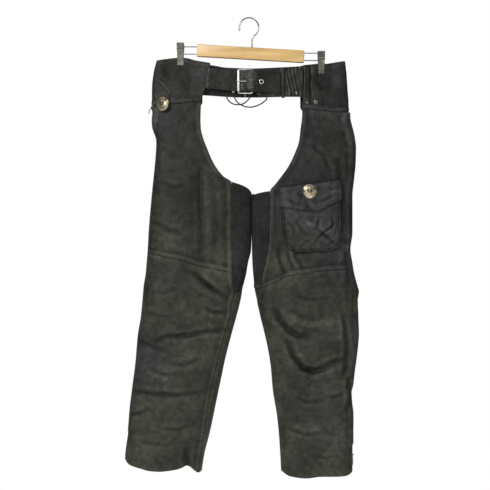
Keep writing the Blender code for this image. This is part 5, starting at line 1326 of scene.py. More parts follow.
def contourOn(leg, outline, gap, lift, u, drop):
    # a stitching line set in from an outline, on a surface given by a net of lifts
    line = np.array(outline)
    run = np.gradient(line, axis=0)
    run /= np.linalg.norm(run, axis=1, keepdims=True)
    inside = line + gap * np.stack([run[:, 1], -run[:, 0]], axis=1)
    for _ in range(3):
        inside[1:-1] = (inside[:-2] + inside[1:-1] * 2 + inside[2:]) / 4
    spots_ = []
    for a, b in inside:
        near = np.argmin((u - a) ** 2 + (drop - b) ** 2)
        spots_.append(leg.skin(leg.front(a, b), b, np.float64(lift.flat[near] + 0.05)))
    return np.array(spots_)


def inwards(high, wall):
    # the inner face of a bent sheet, a wall's thickness under its outer face
    along = np.gradient(high, axis=1)
    down = np.gradient(high, axis=0)
    normal = np.cross(down, along)
    normal /= np.linalg.norm(normal, axis=-1, keepdims=True)
    return high - normal * np.asarray(wall)[..., None] * mm if np.ndim(wall) else high - normal * wall * mm


def makePocketFlap():
    leg = leftLeg
    leftSide = straight(((400, 78.6), (500, 80.5)))
    rightSide = straight(((400, 229.5), (500, 234.0)))
    topLine, tipLine = straight(pocketFlapTop), straight(pocketFlapTip)
    c, r = withEdges(54, (0.0, 0.003, 0.008)), withEdges(34, (0.0, 0.008, 0.02))
    r, c = np.meshgrid(r, c, indexing="ij")
    along = 79.0 + c * 151.0
    first = topLine(along)
    drop = first * (1 - r) + tipLine(along) * r
    u = leftSide(drop) * (1 - c) + rightSide(drop) * c
    floor, hinge = pocketLook["floor"] + 0.2, pocketLook["rim"] + 2.0
    low = floor + (hinge - floor) * ease((drop - first) / 6)
    centre = 1.2 * np.exp(-(((u - 155) / 46) ** 2 + ((drop - 452) / 26) ** 2))
    low = low + centre - creaseSum(u, drop, flapCreases) * 1.2 * ease((drop - first - 8) / 10)
    flat = leg.skin(leg.front(u, drop), drop, low)
    top, bottom, left, right = netDistances(flat / mm)
    near = np.minimum(np.minimum(top, bottom), np.minimum(left, right))
    over = low + edgeRound(near, 1.7) - 0.35 * np.exp(-((np.minimum(near, 20) - 4.0) / 1.0) ** 2)
    high = leg.skin(leg.front(u, drop), drop, over)
    # painted shade in the creases with a painted highlight on their shoulders, and painted shade along the
    # edges and the stitching line 4 mm in
    tone = -creaseSum(u, drop, flapCreases) / 1.6 - 0.9 * np.exp(-((near / 1.0) ** 2)) - 0.5 * np.exp(
        -(((near - 4.0) / 1.0) ** 2)
    )
    mesh = shellMesh("pocketFlapLeather", flat, high, shade=tone)
    flap = addPiece("pocketFlapLeather", mesh, [hide, rawEdge], nodes=("left_pocket_flap",))
    declareSheet(flap, flat)
    lines = [
        offsetLine(high, bottom, 4.0, 0)[3:-3],
        offsetLine(high, left, 4.0, 1)[:-2],
        offsetLine(high, right, 4.0, 1)[:-2],
        offsetLine(high, top, 4.0, 0)[3:-3],
    ]
    addStitches("pocketFlapStitching", lines)
    print("pocket done")


makePocket()


def smoothRoute(points, step, plan=3):
    # evenly spaced points along a smooth curve through a route's own points
    p = np.array(points, float)
    p = np.vstack([2 * p[0] - p[1], p, 2 * p[-1] - p[-2]])
    fine = []
    for a, b, c, d in zip(p, p[1:], p[2:], p[3:]):
        for t in np.linspace(0, 1, 12, endpoint=False):
            bend = (2 * a - 5 * b + 4 * c - d) * t * t + (3 * b - a - 3 * c + d) * t**3
            fine.append(0.5 * (2 * b + (c - a) * t + bend))
    fine = np.array([*fine, p[-2]])
    gaps = np.linalg.norm(np.diff(fine[:, :plan], axis=0), axis=1)
    along = np.concatenate([[0], np.cumsum(gaps)])
    count = max(2, math.ceil(along[-1] / step)) + 1
    at = np.linspace(0, along[-1], count)
    return np.stack([np.interp(at, along, fine[:, k]) for k in range(fine.shape[1])], axis=1)


def strapPiece(
    name, path, wall, node, bumps=None, holes=None, step=2.0, lean=(0.0, 0.0), edge=1.0, finish=None,
):
    # a strap along a path seen from above: each spot has x, y, top z and bottom z
    route = smoothRoute(path, step, 2)
    run = np.gradient(route[:, :2], axis=0)
    run /= np.linalg.norm(run, axis=1, keepdims=True)
    plan = np.stack([run[:, 1], -run[:, 0]], axis=1)
    tall = abs(np.mean(route[:, 2] - route[:, 3]))
    shares = withEdges(int(tall / 2.0), (0.0, 0.5 / tall, 1.4 / tall))
    share = shares[:, None]
    z = route[:, 2][None] + share * (route[:, 3] - route[:, 2])[None]
    gone = np.concatenate([[0], np.cumsum(np.linalg.norm(np.diff(route[:, :2], axis=0), axis=1))])
    fade = np.clip(1 - gone / 12.0, 0, 1)[None]
    shift = lean[0] * share * fade
    fromTop, fromBottom = tall * share + 0 * z, tall * (1 - share) + 0 * z
    fromEnd = np.minimum(gone, gone[-1] - gone)[None] + 0 * z
    near = np.minimum(np.minimum(fromTop, fromBottom), fromEnd)
    half = wall / 2 * (1 - 0.4 * np.exp(-((near / 0.8) ** 2)))
    stitch = 0.3 * np.exp(-((np.minimum(fromTop, fromBottom) - 3.6) / 0.9) ** 2) * edge
    bump = bumps(gone[None] + 0 * z, z) if bumps else 0 * z
    sides = []
    for way, extra in ((-1, bump), (1, bump - stitch)):
        moved = route[None, :, :2] + (way * half + extra)[..., None] * plan[None]
        sides.append(np.stack([moved[..., 0] + shift, moved[..., 1], z], axis=-1) * mm)
    cells = None
    if holes:
        middleX = (route[:-1, 0] + route[1:, 0])[None] / 2 + 0 * z[:-1, :-1]
        middleZ = (z[:-1, :-1] + z[1:, 1:]) / 2
        middleGone = (gone[:-1] + gone[1:])[None] / 2 + 0 * middleZ
        cells = holes(middleX, middleZ, middleGone)
    # painted highlight on the raised bumps, painted shade in the stitch grooves and along the edges
    tone = 0.55 * bump - 2.2 * stitch - 0.5 * np.exp(-((near / 1.0) ** 2))
    mesh = shellMesh(name, sides[0], sides[1], cells, shade=tone)
    thing = addPiece(name, mesh, finish or strapLeather, nodes=(node,))
    declareSheet(thing, (sides[0] + sides[1]) / 2)
    lines = []
    if edge:
        lines = [
            offsetLine(sides[1], fromTop, 3.6, 0)[2:-2], offsetLine(sides[1], fromBottom, 3.6, 0)[2:-2],
        ]
        addStitches(name + "Stitching", lines)
    return thing


beltLook = {"tongueTall": 52.0, "tongueWall": 3.0, "baseWall": 2.4, "bandWall": 2.2}


def tongueBumps(gone, z):
    soft = 0.35 * np.sin(gone / 13.0) * np.sin(z / 17.0 + 1.0) + 0.25 * np.sin(gone / 5.0 + z / 9.0)
    scored = 0.0
    for line in (-148.0, -156.0, -168.0, -176.0):
        scored = scored + 0.28 * np.exp(-((z - line) / 1.4) ** 2)
    return soft * 0.6 - scored


def baseBumps(gone, z):
    total = 0.55 * np.sin(gone / 6.0 + z / 15.0) * np.sin(z / 11.0)
    for x, depth, wide in (
        (11.0, 0.8, 2.2), (20.0, 1.2, 2.4), (29.0, 0.9, 2.0), (38.0, 1.3, 2.4), (46.0, 0.8, 2.0),
    ):
        slant = x + 6.0 * np.sin((z + 165.0) / 26.0)
        total = total - depth * 1.0 * np.exp(-((gone - slant) / wide) ** 2)
    return total


def makeBelt():
    b = beltLook
    path = [(x, y, z + b["tongueTall"] / 2, z - b["tongueTall"] / 2) for x, y, z in tonguePath]

    def tongueHoles(x, z, gone):
        slot = (x > -13.5) & (x < -3.5) & (np.abs(z + 162.0) < 1.8)
        return slot | (np.hypot(x - 31.4, z + 163.8) < 3.6)

    strapPiece(
        "beltTongueStrap", path, b["tongueWall"], "belt_tongue", tongueBumps, tongueHoles, lean=(-7.0, 0.0),
    )

    def baseHoles(x, z, gone):
        return (x < 9.2) & (np.abs(z + 161.0) < 3.4)

    strapPiece(
        "beltBaseStrap", basePath, b["baseWall"], "belt_base", baseBumps, baseHoles,
    )
    for word, path in (("right", rightBandPath), ("left", leftBandPath)):
        middle = bandEyelets[word]

        def bandHoles(x, z, gone, middle=middle):
            total = np.zeros(x.shape, bool)
            for row in bandEyelets["rows"]:
                total |= np.hypot(x - middle, z - row) < 3.0
            return total

        strapPiece(
            f"{word}BackBandStrap", path, b["bandWall"], f"{word}_back_band",
            lambda gone, z: 0.4 * np.sin(gone / 15.0 + z / 21.0), bandHoles,
        )
    print("belt straps done")


makeBelt()


def makeWaistTrims():
    # the belt loop and the tab that hangs by the clip
    leg = leftLeg
    low = leather + 0.5
    r, c = withEdges(50, (0.0, 0.005, 0.015)), withEdges(8, (0.0, 0.03, 0.09))
    r, c = np.meshgrid(r, c, indexing="ij")
    drop = loopLook["top"] + r * (loopLook["bottom"] - loopLook["top"])
    u = loopLook["x1"] + c * (loopLook["x0"] + 2.6 - loopLook["x1"])
    lift = low + 3.0 * np.sin(math.pi * r) ** 0.5 + 0.3 * np.sin(drop / 9.0)
    flat = leg.skin(leg.front(u, drop), drop, lift)
    gaps = netDistances(flat / mm)
    near = np.minimum(np.minimum(gaps[0], gaps[1]), np.minimum(gaps[2], gaps[3]))
    over = lift + edgeRound(near, 2.0) - 0.3 * np.exp(-((np.minimum(gaps[2], gaps[3]) - 3.0) / 0.8) ** 2)
    high = leg.skin(leg.front(u, drop), drop, over)
    loop = addPiece(
        "beltLoopLeather", shellMesh("beltLoopLeather", flat, high), strapLeather,
        nodes=("belt_loop",),
    )
    declareSheet(loop, flat)
    addStitches(
        "beltLoopStitching",
        [offsetLine(high, gaps[2], 3.0, 1)[1:-1], offsetLine(high, gaps[3], 3.0, 1)[1:-1]],
    )
    left = through([(d, a) for d, a, _ in waistTab])
    right = through([(d, b) for d, _, b in waistTab])
    r, c = np.meshgrid(withEdges(46, (0.0, 0.005, 0.014)), withEdges(12, (0.0, 0.02, 0.06)), indexing="ij")
    drop = 119.5 + r * (tabRound["drop"] - 10.0 * (2 * c - 1) ** 4 - 119.5)
    u = right(drop) * (1 - c) + left(drop) * c
    lift = low + 1.2 + 0.5 * np.sin(drop / 14.0) * np.sin(u / 9.0)
    flat = leg.skin(leg.front(u, drop), drop, lift)
    gaps = netDistances(flat / mm)
    near = np.minimum(np.minimum(gaps[0], gaps[1]), np.minimum(gaps[2], gaps[3]))
    over = lift + edgeRound(near, 1.8) - 0.3 * np.exp(-((near - 3.4) / 0.8) ** 2)
    high = leg.skin(leg.front(u, drop), drop, over)
    tab = addPiece(
        "waistTabLeather", shellMesh("waistTabLeather", flat, high), strapLeather,
        nodes=("waist_tab",),
    )
    declareSheet(tab, flat)
    addStitches(
        "waistTabStitching",
        [
            offsetLine(high, gaps[2], 3.4, 1)[:-4], offsetLine(high, gaps[3], 3.4, 1)[:-4],
            offsetLine(high, gaps[1], 3.4, 0)[2:-2],
        ],
    )


makeWaistTrims()


# Hard pieces are drawn and spun as by hand, then set on their seats.
def clearPicks():
    if bpy.context.object and bpy.context.object.mode != "OBJECT":
        bpy.ops.object.mode_set(mode="OBJECT")
    bpy.ops.object.select_all(action="DESELECT")


def spunPiece(name, profile, steps=40):
    # a profile of (radius, height) drawn point by point and spun round
    clearPicks()
    bpy.ops.mesh.primitive_plane_add(size=0.002)
    thing = bpy.context.object
    thing.name = name
    bpy.ops.object.mode_set(mode="EDIT")
    bpy.ops.mesh.select_all(action="SELECT")
    bpy.ops.mesh.merge(type="CENTER")
    bpy.ops.transform.translate(value=(profile[0][0] * mm, 0, profile[0][1] * mm))
    for before, after in zip(profile, profile[1:]):
        step = ((after[0] - before[0]) * mm, 0, (after[1] - before[1]) * mm)
        bpy.ops.mesh.extrude_region_move(TRANSFORM_OT_translate={"value": step})
    bpy.ops.mesh.select_all(action="SELECT")
    bpy.ops.mesh.spin(steps=steps, angle=2 * math.pi, center=(0, 0, 0), axis=(0, 0, 1))
    bpy.ops.mesh.select_all(action="SELECT")
    bpy.ops.mesh.remove_doubles(threshold=0.00001)
    bpy.ops.mesh.normals_make_consistent(inside=False)
    bpy.ops.object.mode_set(mode="OBJECT")
    return thing


def boxPiece(name, size, bevel, segments=2, at=(0, 0, 0)):
    clearPicks()
    bpy.ops.mesh.primitive_cube_add(size=1.0)
    thing = bpy.context.object
    thing.name = name
    bpy.ops.object.mode_set(mode="EDIT")
    bpy.ops.mesh.select_all(action="SELECT")
    bpy.ops.transform.resize(value=[s * mm for s in size])
    if bevel:
        bpy.ops.mesh.bevel(offset=bevel * mm, segments=segments, affect="EDGES")
    bpy.ops.mesh.select_all(action="SELECT")
    bpy.ops.transform.translate(value=[a * mm for a in at])
    bpy.ops.object.mode_set(mode="OBJECT")
    return thing


def cutOut(thing, cutter, kind="DIFFERENCE"):
    clearPicks()
    tool = thing.modifiers.new(cutter.name, "BOOLEAN")
    tool.object = cutter
    tool.operation = kind
    tool.solver = "EXACT"
    bpy.context.view_layer.objects.active = thing
    thing.select_set(True)
    bpy.ops.object.modifier_apply(modifier=tool.name)
    bpy.data.objects.remove(cutter, do_unlink=True)


def setOn(thing, seat, finish, nodes=(), body="garment", sharp=35):
    thing.data.transform(seat)
    thing.data.materials.clear()
    thing.data.materials.append(finish)
    thing.data.shade_smooth()
    thing.data.set_sharp_from_angle(angle=math.radians(sharp))
    return finishPiece(thing, body, nodes)


def copyOf(thing, name):
    twin = bpy.data.objects.new(name, thing.data.copy())
    bpy.context.collection.objects.link(twin)
    return twin


def tubePiece(name, points, radius, finish, nodes=(), closed=False, body="garment"):
    # a wire bent through its points, turned into a mesh
    clearPicks()
    curve = bpy.data.curves.new(name, "CURVE")
    curve.dimensions = "3D"
    curve.bevel_depth = radius * mm
    curve.bevel_resolution = 4
    curve.use_fill_caps = True
    line = curve.splines.new("POLY")
    line.points.add(len(points) - 1)
    for spot, point in zip(line.points, points):
        spot.co = (point[0] * mm, point[1] * mm, point[2] * mm, 1.0)
    line.use_cyclic_u = closed
    thing = bpy.data.objects.new(name, curve)
    bpy.context.collection.objects.link(thing)
    bpy.context.view_layer.objects.active = thing
    thing.select_set(True)
    bpy.ops.object.convert(target="MESH")
    thing = bpy.context.object
    cleanNormals(thing.data)
    return setOn(thing, Matrix.Identity(4), finish, nodes, body, 50)


conchoLook = {
    "slotApart": 8.0, "slotWide": 3.2, "slotTall": 8.4, "beads": 44, "rays": 24,
}


def conchoPlate(name):
    # a domed plate with a beaded rim, two rings of worn rays and two slots
    look = conchoLook
    profile = (
        (0.01, 5.0), (2.5, 4.98), (4.8, 4.9), (6.6, 4.75), (8.2, 4.5), (9.6, 4.2), (10.8, 3.9), (11.6, 3.3),
        (12.4, 3.45), (13.4, 3.2), (14.4, 2.8), (15.2, 2.2), (15.8, 1.6), (16.6, 1.5), (17.5, 1.35),
        (18.0, 1.0), (18.2, 0.5), (18.0, 0.0), (16.6, 0.0), (14.5, 1.1), (10.5, 2.5), (6.0, 3.3),
        (0.01, 3.6),
    )
    plate = spunPiece(name, profile, 96)
    for vert in plate.data.vertices:
        out = math.hypot(vert.co.x, vert.co.y) / mm
        turn = math.atan2(vert.co.y, vert.co.x)
        if vert.co.z > (3.7 - out * 0.16) * mm:
            vert.co.z -= 0.30 * mm * (
                0.5 + 0.5 * math.cos(look["rays"] * turn)
            ) * math.exp(-((out - 8.6) / 1.9) ** 2)
            vert.co.z -= 0.28 * mm * (
                0.5 + 0.5 * math.cos(look["rays"] * turn + math.pi)
            ) * math.exp(-((out - 13.6) / 1.3) ** 2)
            vert.co.z -= 0.5 * mm * math.exp(-((out - 5.4) / 0.5) ** 2)
    for way in (-1, 1):
        slot = boxPiece(
            "slot", (look["slotWide"], look["slotTall"], 9.0), 1.1, 3,
            (way * look["slotApart"] / 2, 1.0, 4.0),
        )
        cutOut(plate, slot)
    bead = spunPiece(
        "bead", ((0.01, 0.62), (0.36, 0.55), (0.62, 0.3), (0.7, 0.0), (0.5, -0.4), (0.01, -0.5)), 8,
    )
    made = bmesh.new()
    made.from_mesh(plate.data)
    for number in range(look["beads"]):
        turn = 2 * math.pi * number / look["beads"]
        spot = bead.data.copy()
        spot.transform(
            Matrix.Translation(Vector((17.0 * math.cos(turn), 17.0 * math.sin(turn), 1.55)) * mm)
        )
        made.from_mesh(spot)
        bpy.data.meshes.remove(spot)
    made.to_mesh(plate.data)
    made.free()
    bpy.data.objects.remove(bead, do_unlink=True)
    return plate


def thongPoints(leg, table, seat):
    points = []
    for where, *spot in table:
        if where == "leg":
            u, drop, lift = spot
            points.append(Vector(leg.skin(leg.front(u, drop), drop, np.float64(lift), False)))
        else:
            points.append(seat @ (Vector(spot) * mm))
    return [point / mm for point in points]


def laceCord(
    name, points, diameter, finish, node, exit, body="garment", step=2.0,
):
    # a free lace stays a live curve, so that its length can be measured
    route = smoothRoute([tuple(point) for point in points], step)
    curve = bpy.data.curves.new(name, "CURVE")
    curve.dimensions = "3D"
    curve.bevel_depth = diameter / 2 * mm
    curve.bevel_resolution = 3
    curve.use_fill_caps = True
    line = curve.splines.new("POLY")
    line.points.add(len(route) - 1)
    for spot, point in zip(line.points, route):
        spot.co = (*(point * mm), 1.0)
    thing = bpy.data.objects.new(name, curve)
    bpy.context.collection.objects.link(thing)
    curve.materials.append(finish)
    finishPiece(thing, body, (node,))
    exit(route) if callable(exit) else exit
    return thing


def makeConchos():
    flapFace = leather + 1.0 + 9.0 + 0.5 + 1.7
    seats = {}
    seats["pocket"] = leftLeg.seat(152.5, 443.0, np.float64(flapFace + 0.7))
    turn = Matrix.Rotation(math.radians(-24.0), 4, "Y")
    seats["hip"] = rightLeg.seat(217.5, 220.5, np.float64(11.4)) @ turn
    plate = conchoPlate("pocketConchoPlate")
    hipPlate = copyOf(plate, "hipConchoPlate")
    setOn(plate, seats["pocket"], antique, ("pocket_concho",))
    setOn(hipPlate, seats["hip"], antique, ("hip_concho",))
    points = thongPoints(leftLeg, pocketThong, seats["pocket"])
    laceCord(
        "pocketConchoLace", points, 2.0, laceLeather, "pocket_thong",
        lambda route: tuple(route[10] * mm),
    )
    points = thongPoints(rightLeg, hipThong, seats["hip"])
    laceCord(
        "hipConchoLace", points, 2.0, hipLace, "hip_thong", lambda route: tuple(route[10] * mm),
    )
    laceCord(
        "backLacing", backLace, 3.4, laceLeather, "back_lace", lambda route: tuple(route[0] * mm),
    )
    print("conchos and laces done")


makeConchos()


buckleLook = {"x": -9.5, "z": -162.0, "wide": 41.0, "tall": 64.0, "corner": 6.0, "y": -16.9, "wire": 1.75}


def makeBuckle():
    f = buckleLook
    halfX, halfZ = f["wide"] / 2 - f["wire"], f["tall"] / 2 - f["wire"]
    points = []
    for number, (sx, sz) in enumerate(((1, 1), (-1, 1), (-1, -1), (1, -1))):
        for k in range(9):
            angle = math.pi / 2 * (number + k / 8)
            x = sx * (halfX - f["corner"]) + f["corner"] * math.cos(angle)
            z = sz * (halfZ - f["corner"]) + f["corner"] * math.sin(angle)
            points.append((f["x"] + x, f["y"], f["z"] + z))
    bar = tubePiece("buckleFrameBar", points, f["wire"], nickel, ("buckle_frame",), closed=True)
    farBar = f["x"] - halfX
    for vert in bar.data.vertices:
        inner = vert.co.x / mm > farBar and vert.co.x / mm < farBar + 2.5
        vert.co.x += 3.6 * mm * inner * float(ease((halfZ - 3.0 - abs(vert.co.z / mm - f["z"])) / 3.0))
    heel = f["x"] + halfX
    z = f["z"]
    route = [
        (heel - 2.2, -16.9, z), (1.0, -17.5, z), (-6.0, -18.3, z), (-12.0, -19.0, z), (-18.0, -19.7, z),
        (-24.0, -20.5, z), (-33.0, -20.8, z),
    ]
    tubePiece("buckleProngPin", smoothRoute(route, 1.5), 1.3, nickel, ("buckle_prong",))


def ringProfile(inner, outer, thick):
    middle, half = (inner + outer) / 2, (outer - inner) / 2
    return (
        (inner, -0.4), (inner, 0.0), (inner + half * 0.25, thick * 0.7), (middle, thick),
        (outer - half * 0.25, thick * 0.7), (outer, 0.0), (outer, -0.4), (inner, -0.4),
    )


def makeEyeletsAndCaps():
    ring = spunPiece("beltEyeletRing", ringProfile(3.3, 6.3, 1.3), 40)
    eye = Matrix.Translation(Vector((31.4, -24.1, -163.8)) * mm)
    turn = Matrix.Rotation(math.radians(90), 4, "X") @ Matrix.Rotation(math.radians(9.7), 4, "Y")
    setOn(ring, eye @ turn, nickel, ("belt_eyelet",), sharp=60)
    small = spunPiece("laceRing", ringProfile(3.2, 5.6, 1.1), 32)
    for word, middle in (("right", bandEyelets["right"]), ("left", bandEyelets["left"])):
        for number, z in enumerate(bandEyelets["rows"], 1):
            seat = Matrix.Translation(
                Vector((middle, 14.0 + 1.1 + 0.3, z)) * mm
            ) @ Matrix.Rotation(math.radians(-90), 4, "X")
            setOn(
                copyOf(small, f"{word}LaceRing{number}"), seat, nickel,
                (f"{word}_lace_eyelet_{number}",), sharp=60,
            )
    bpy.data.objects.remove(small, do_unlink=True)
    cap = spunPiece(
        "tabSnapCap",
        (
            (0.01, 1.55), (2.2, 1.6), (3.4, 1.85), (4.2, 1.75), (5.2, 1.3), (5.9, 0.7), (6.0, 0.2),
            (5.8, -0.2), (0.01, -0.2),
        ),
        40,
    )
    setOn(
        cap, leftLeg.seat(170.0, 214.5, np.float64(leather + 0.4 + 3.0 + 0.35)), clipSteel,
        ("tab_snap",),
    )
    rivet = spunPiece(
        "loopRivetCap",
        ((0.01, 1.25), (1.4, 1.15), (2.5, 0.8), (3.2, 0.3), (3.4, 0.0), (3.2, -0.3), (0.01, -0.3)), 28,
    )
    other = copyOf(rivet, "beltRivetCap")
    setOn(
        rivet, leftLeg.seat(148.0, 216.5, np.float64(leather + 0.4 + 4.0)), rivetBrass,
        ("loop_rivet",),
    )
    seat = Matrix.Translation(
        Vector((121.0, -12.9 - 1.2 - 0.35, -191.5)) * mm
    ) @ Matrix.Rotation(math.radians(90), 4, "X")
    setOn(other, seat, rivetBrass, ("belt_rivet",))
    # the keeper: a leather ring round the strap
    k = keeperLook
    outside = boxPiece(
        "beltKeeperRing", (k["width"], k["back"] - k["front"], k["top"] - k["bottom"]), 0.9, 3,
        (k["x"], (k["front"] + k["back"]) / 2, (k["top"] + k["bottom"]) / 2),
    )
    inner = (k["front"] + k["wall"], k["back"] - k["wall"] * 0.3)
    gap = boxPiece(
        "gap", (k["width"] + 4, inner[1] - inner[0], k["top"] - k["bottom"] - 2 * k["wall"]), 0, 1,
        (k["x"], sum(inner) / 2, (k["top"] + k["bottom"]) / 2),
    )
    cutOut(outside, gap)
    setOn(outside, Matrix.Identity(4), strapLeather, ("belt_keeper",))


makeBuckle()
makeEyeletsAndCaps()
print("buckle, eyelets and caps done")


hangerLook = {
    "hookRadius": 24.6, "wire": 1.8, "stemX": 7.6, "barX": 4.2, "barZ": -89.8, "long": 273.6,
    "tall": 31.6, "thick": 13.0, "tilt": 3.37, "bow": 1.3, "spread": 18.6,
}
clipLook = {"halfWide": 9.3, "wall": 1.5, "springDown": 22.0, "springRadius": 5.6, "ridges": 4}


def barTop(x):
    h = hangerLook
    slope = math.tan(math.radians(h["tilt"]))
    return h["barZ"] - (x - h["barX"]) * slope + h["tall"] / 2 / math.cos(math.radians(h["tilt"]))


def makeHanger():
    h = hangerLook
    bar = boxPiece("hangerBarWood", (h["long"], h["thick"], h["tall"]), 2.4, 4)
    seat = Matrix.Translation(
        Vector((h["barX"], 0, h["barZ"])) * mm
    ) @ Matrix.Rotation(math.radians(h["tilt"]), 4, "Y")
    # the bar's underside gets the darker pine copy: painted shade
    lowFaces = [face.index for face in bar.data.polygons if face.center.z < (-h["tall"] / 2 + 1.6) * mm]
    setOn(bar, seat, pine, ("hanger_bar",), sharp=50)
    bar.data.materials.append(shadedPine)
    for number in lowFaces:
        bar.data.polygons[number].material_index = 1
    centre = -h["hookRadius"] + h["wire"]
    arc = []
    for k in range(17):
        angle = math.radians(186 - k * 14.2)
        arc.append((h["hookRadius"] * math.cos(angle), 0, centre + h["hookRadius"] * math.sin(angle)))
    low = centre - h["hookRadius"]
    neck = ((h["stemX"] + 2.4, 0, low - 1.2), (h["stemX"], 0, low - 8.0))
    run = [(h["stemX"], 0, float(z)) for z in np.linspace(low - 14, barTop(h["stemX"]) + 0.4, 3)]
    tubePiece(
        "hangerHookWire", smoothRoute([*arc, *neck, *run], 2.0), h["wire"], chrome,
        ("hanger_hook",),
    )
    tip = Vector(arc[0]) + Vector((0, 0, -3.2))
    ball = spunPiece(
        "hookTipBall",
        tuple((max(2.8 * math.sin(a), 0.01), 2.8 * math.cos(a)) for a in np.linspace(0, math.pi, 12)), 24,
    )
    setOn(ball, Matrix.Translation(tip * mm), chrome, ("hook_tip",), sharp=80)
    collar = spunPiece(
        "hookCollar",
        ((h["wire"], 1.2), (3.2, 1.1), (4.0, 0.5), (4.2, -0.6), (h["wire"], -0.6), (h["wire"], 1.2)), 28,
    )
    setOn(
        collar, Matrix.Translation(Vector((h["stemX"], 0, barTop(h["stemX"]) + 0.4)) * mm), chrome,
    )
    for word, way in (("right", -1), ("left", 1)):
        makeClip(word, way)
    print("hanger done")


def makeClip(word, way):
    # two sprung jaws: a ridged grip above the spring and a plain plate on the leather
    u, top, half = clips[word], clipTops[word], clipLook["halfWide"]
    for name, facing in (("front", -1), ("back", 1)):
        clearPicks()
        rows = []
        for down, gap in jawProfile:
            rows.append((down, gap))
        curve = straight(rows)
        downs = np.concatenate([np.linspace(0, 20, 41), np.linspace(22, 57, 18)])
        widths = (-1.0, -0.93, -0.6, 0.0, 0.6, 0.93, 1.0)
        r, c = np.meshgrid(downs, widths, indexing="ij")
        gap = curve(r)
        ridge = 1.1 * (
            0.5 - 0.5 * np.cos(2 * math.pi * np.clip((r - 3) / 3.6, 0, clipLook["ridges"]))
        ) * (r > 3) * (r < 17.4) * (np.abs(c) < 0.95)
        edge = 0.5 * (np.abs(c) > 0.95)
        shoulder = 1 - 0.1 * ease((r - 20) / 4)
        x = way * u + c * half * shoulder
        inner = np.stack([x, facing * gap, -top - r], axis=-1) * mm
        outer = np.stack([x, facing * (gap + clipLook["wall"] + ridge - edge), -top - r], axis=-1) * mm
        mesh = shellMesh(f"{word}Clip{name.capitalize()}Jaw", inner, outer)
        addPiece(
            f"{word}Clip{name.capitalize()}Jaw", mesh, clipSteel, nodes=(f"{word}_clip_{name}",),
            sharp=30,
        )
    z = -top - clipLook["springDown"]
    near, far = way * (u - 3.4), way * (u + half - 1.0)
    coil = []
    turns = 6
    for k in range(turns * 14 + 1):
        share = k / (turns * 14)
        angle = 2 * math.pi * turns * share
        radius = clipLook["springRadius"] - 0.8
        coil.append((near + (far - near) * share, radius * math.cos(angle), z + radius * math.sin(angle)))
    tubePiece(f"{word}ClipSpringCoil", coil, 0.75, chrome, (f"{word}_clip_spring",))
    h = hangerLook
    tilt = math.radians(h["tilt"])
    end = h["long"] / 2 * math.cos(tilt)
    middle = h["barZ"] - way * (end + 0.3) * math.sin(tilt)
    spread = h["spread"] / 2
    upper, lower = middle + spread, middle - spread
    endHigh = h["barX"] + way * (end + 0.4) + spread * math.sin(tilt)
    endLow = h["barX"] + way * (end + 0.4) - spread * math.sin(tilt)
    far, bend = way * (u - half + 2.2), way * (u - half + 4.2)
    route = [
        (endHigh, 0, upper), ((endHigh + far) / 2, 0, upper), (far, 0, upper), (bend, 0, upper - 2.4),
        (bend, 0, (upper + lower) / 2), (bend, 0, lower + 2.4), (far, 0, lower),
        ((endLow + far) / 2, 0, lower), (endLow, 0, lower),
    ]
    tubePiece(
        f"{word}ClipBowWire", smoothRoute(route, 1.4), h["bow"], wireSteel,
        (f"{word}_clip_wire",),
    )


makeHanger()

# the sliders and pulls keep their own shapes
for word in ("right", "left"):
    for node in (f"{word}_zip_slider", f"{word}_zip_pull"):
        for slotPlace in range(len(bpy.data.objects[node].material_slots)):
            bpy.data.objects[node].material_slots[slotPlace].material = nickel


studioLook = {"floor": -1.75, "half": 2.6, "glow": 0.24}


def makeStage():
    # one wide white floor; the air behind the garment is the same white
    s = studioLook
    clearPicks()
    bpy.ops.mesh.primitive_plane_add(size=2 * s["half"], location=(0, 0, s["floor"]))
    sheet = bpy.context.object
    sheet.name = "studioSheet"
    made, nodes, links, shader, where = newMaterial("studioPaper")
    speck = noiseNode(nodes, links, where, 3, 3)
    ramp = rampNode(nodes, links, speck.outputs["Fac"], 0.3, 0.7, (0.93, 0.93, 0.93), (0.96, 0.96, 0.96))
    links.new(ramp.outputs["Color"], shader.inputs["Base Color"])
    shader.inputs["Roughness"].default_value = 0.95
    shader.inputs["Emission Color"].default_value = (1.0, 1.0, 1.0, 1.0)
    shader.inputs["Emission Strength"].default_value = 0.55
    sheet.data.materials.append(made)


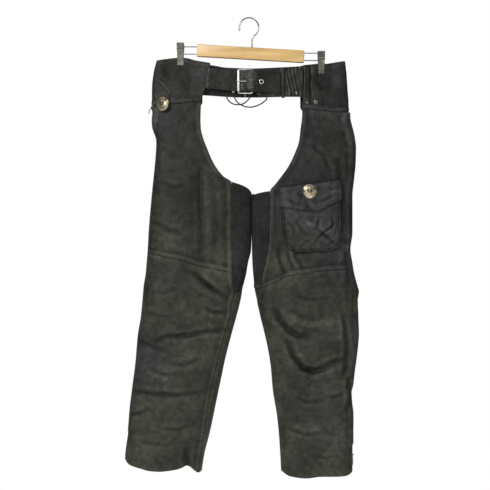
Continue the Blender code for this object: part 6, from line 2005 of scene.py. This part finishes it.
def makeAir():
    # white behind the garment, and a weaker even light on it
    air = bpy.data.worlds.new("studioAir")
    air.use_nodes = True
    nodes, links = air.node_tree.nodes, air.node_tree.links
    backdrop = nodes["Background"]
    backdrop.inputs["Color"].default_value = (1, 1, 1, 1)
    backdrop.inputs["Strength"].default_value = 1.0
    glow = nodes.new("ShaderNodeBackground")
    glow.inputs["Color"].default_value = (1, 1, 1, 1)
    glow.inputs["Strength"].default_value = studioLook["glow"]
    path = nodes.new("ShaderNodeLightPath")
    mix = nodes.new("ShaderNodeMixShader")
    links.new(path.outputs["Is Camera Ray"], mix.inputs["Fac"])
    links.new(glow.outputs["Background"], mix.inputs[1])
    links.new(backdrop.outputs["Background"], mix.inputs[2])
    links.new(mix.outputs["Shader"], nodes["World Output"].inputs["Surface"])
    bpy.context.scene.world = air


def addLight(name, place, aim, power, size, tint=(1, 1, 1)):
    lamp = bpy.data.lights.new(name, "AREA")
    lamp.energy = power
    lamp.size = size
    lamp.color = tint
    thing = bpy.data.objects.new(name, lamp)
    bpy.context.collection.objects.link(thing)
    thing.location = place
    thing.rotation_euler = (Vector(aim) - Vector(place)).to_track_quat("-Z", "Y").to_euler()
    return thing


makeStage()
makeAir()
addLight("keySoftbox", (-1.2, -2.2, 0.7), (0, 0, -0.7), 78, 1.0)
addLight("fillSoftbox", (2.1, -2.6, 0.3), (0, 0, -0.6), 10, 1.9)
addLight("backSoftbox", (1.3, 2.1, 1.6), (0, 0, -0.6), 55, 1.2)
addLight("lowFill", (0.3, -2.6, -1.3), (0, 0, -0.9), 15, 1.6)
bpy.context.scene.view_settings.view_transform = "Standard"

cameraLook = {"lens": 95.0, "x": -0.0102, "z": -0.5776, "across": 1.2495}
lens = bpy.data.cameras.new("photoCamera")
lens.lens = cameraLook["lens"]
lens.sensor_width = 36.0
camera = bpy.data.objects.new("photoCamera", lens)
bpy.context.collection.objects.link(camera)
reach = cameraLook["across"] * cameraLook["lens"] / 36.0
camera.location = (cameraLook["x"], -reach, cameraLook["z"])
camera.rotation_euler = (math.pi / 2, 0, 0)
bpy.context.scene.camera = camera
print("studio done")
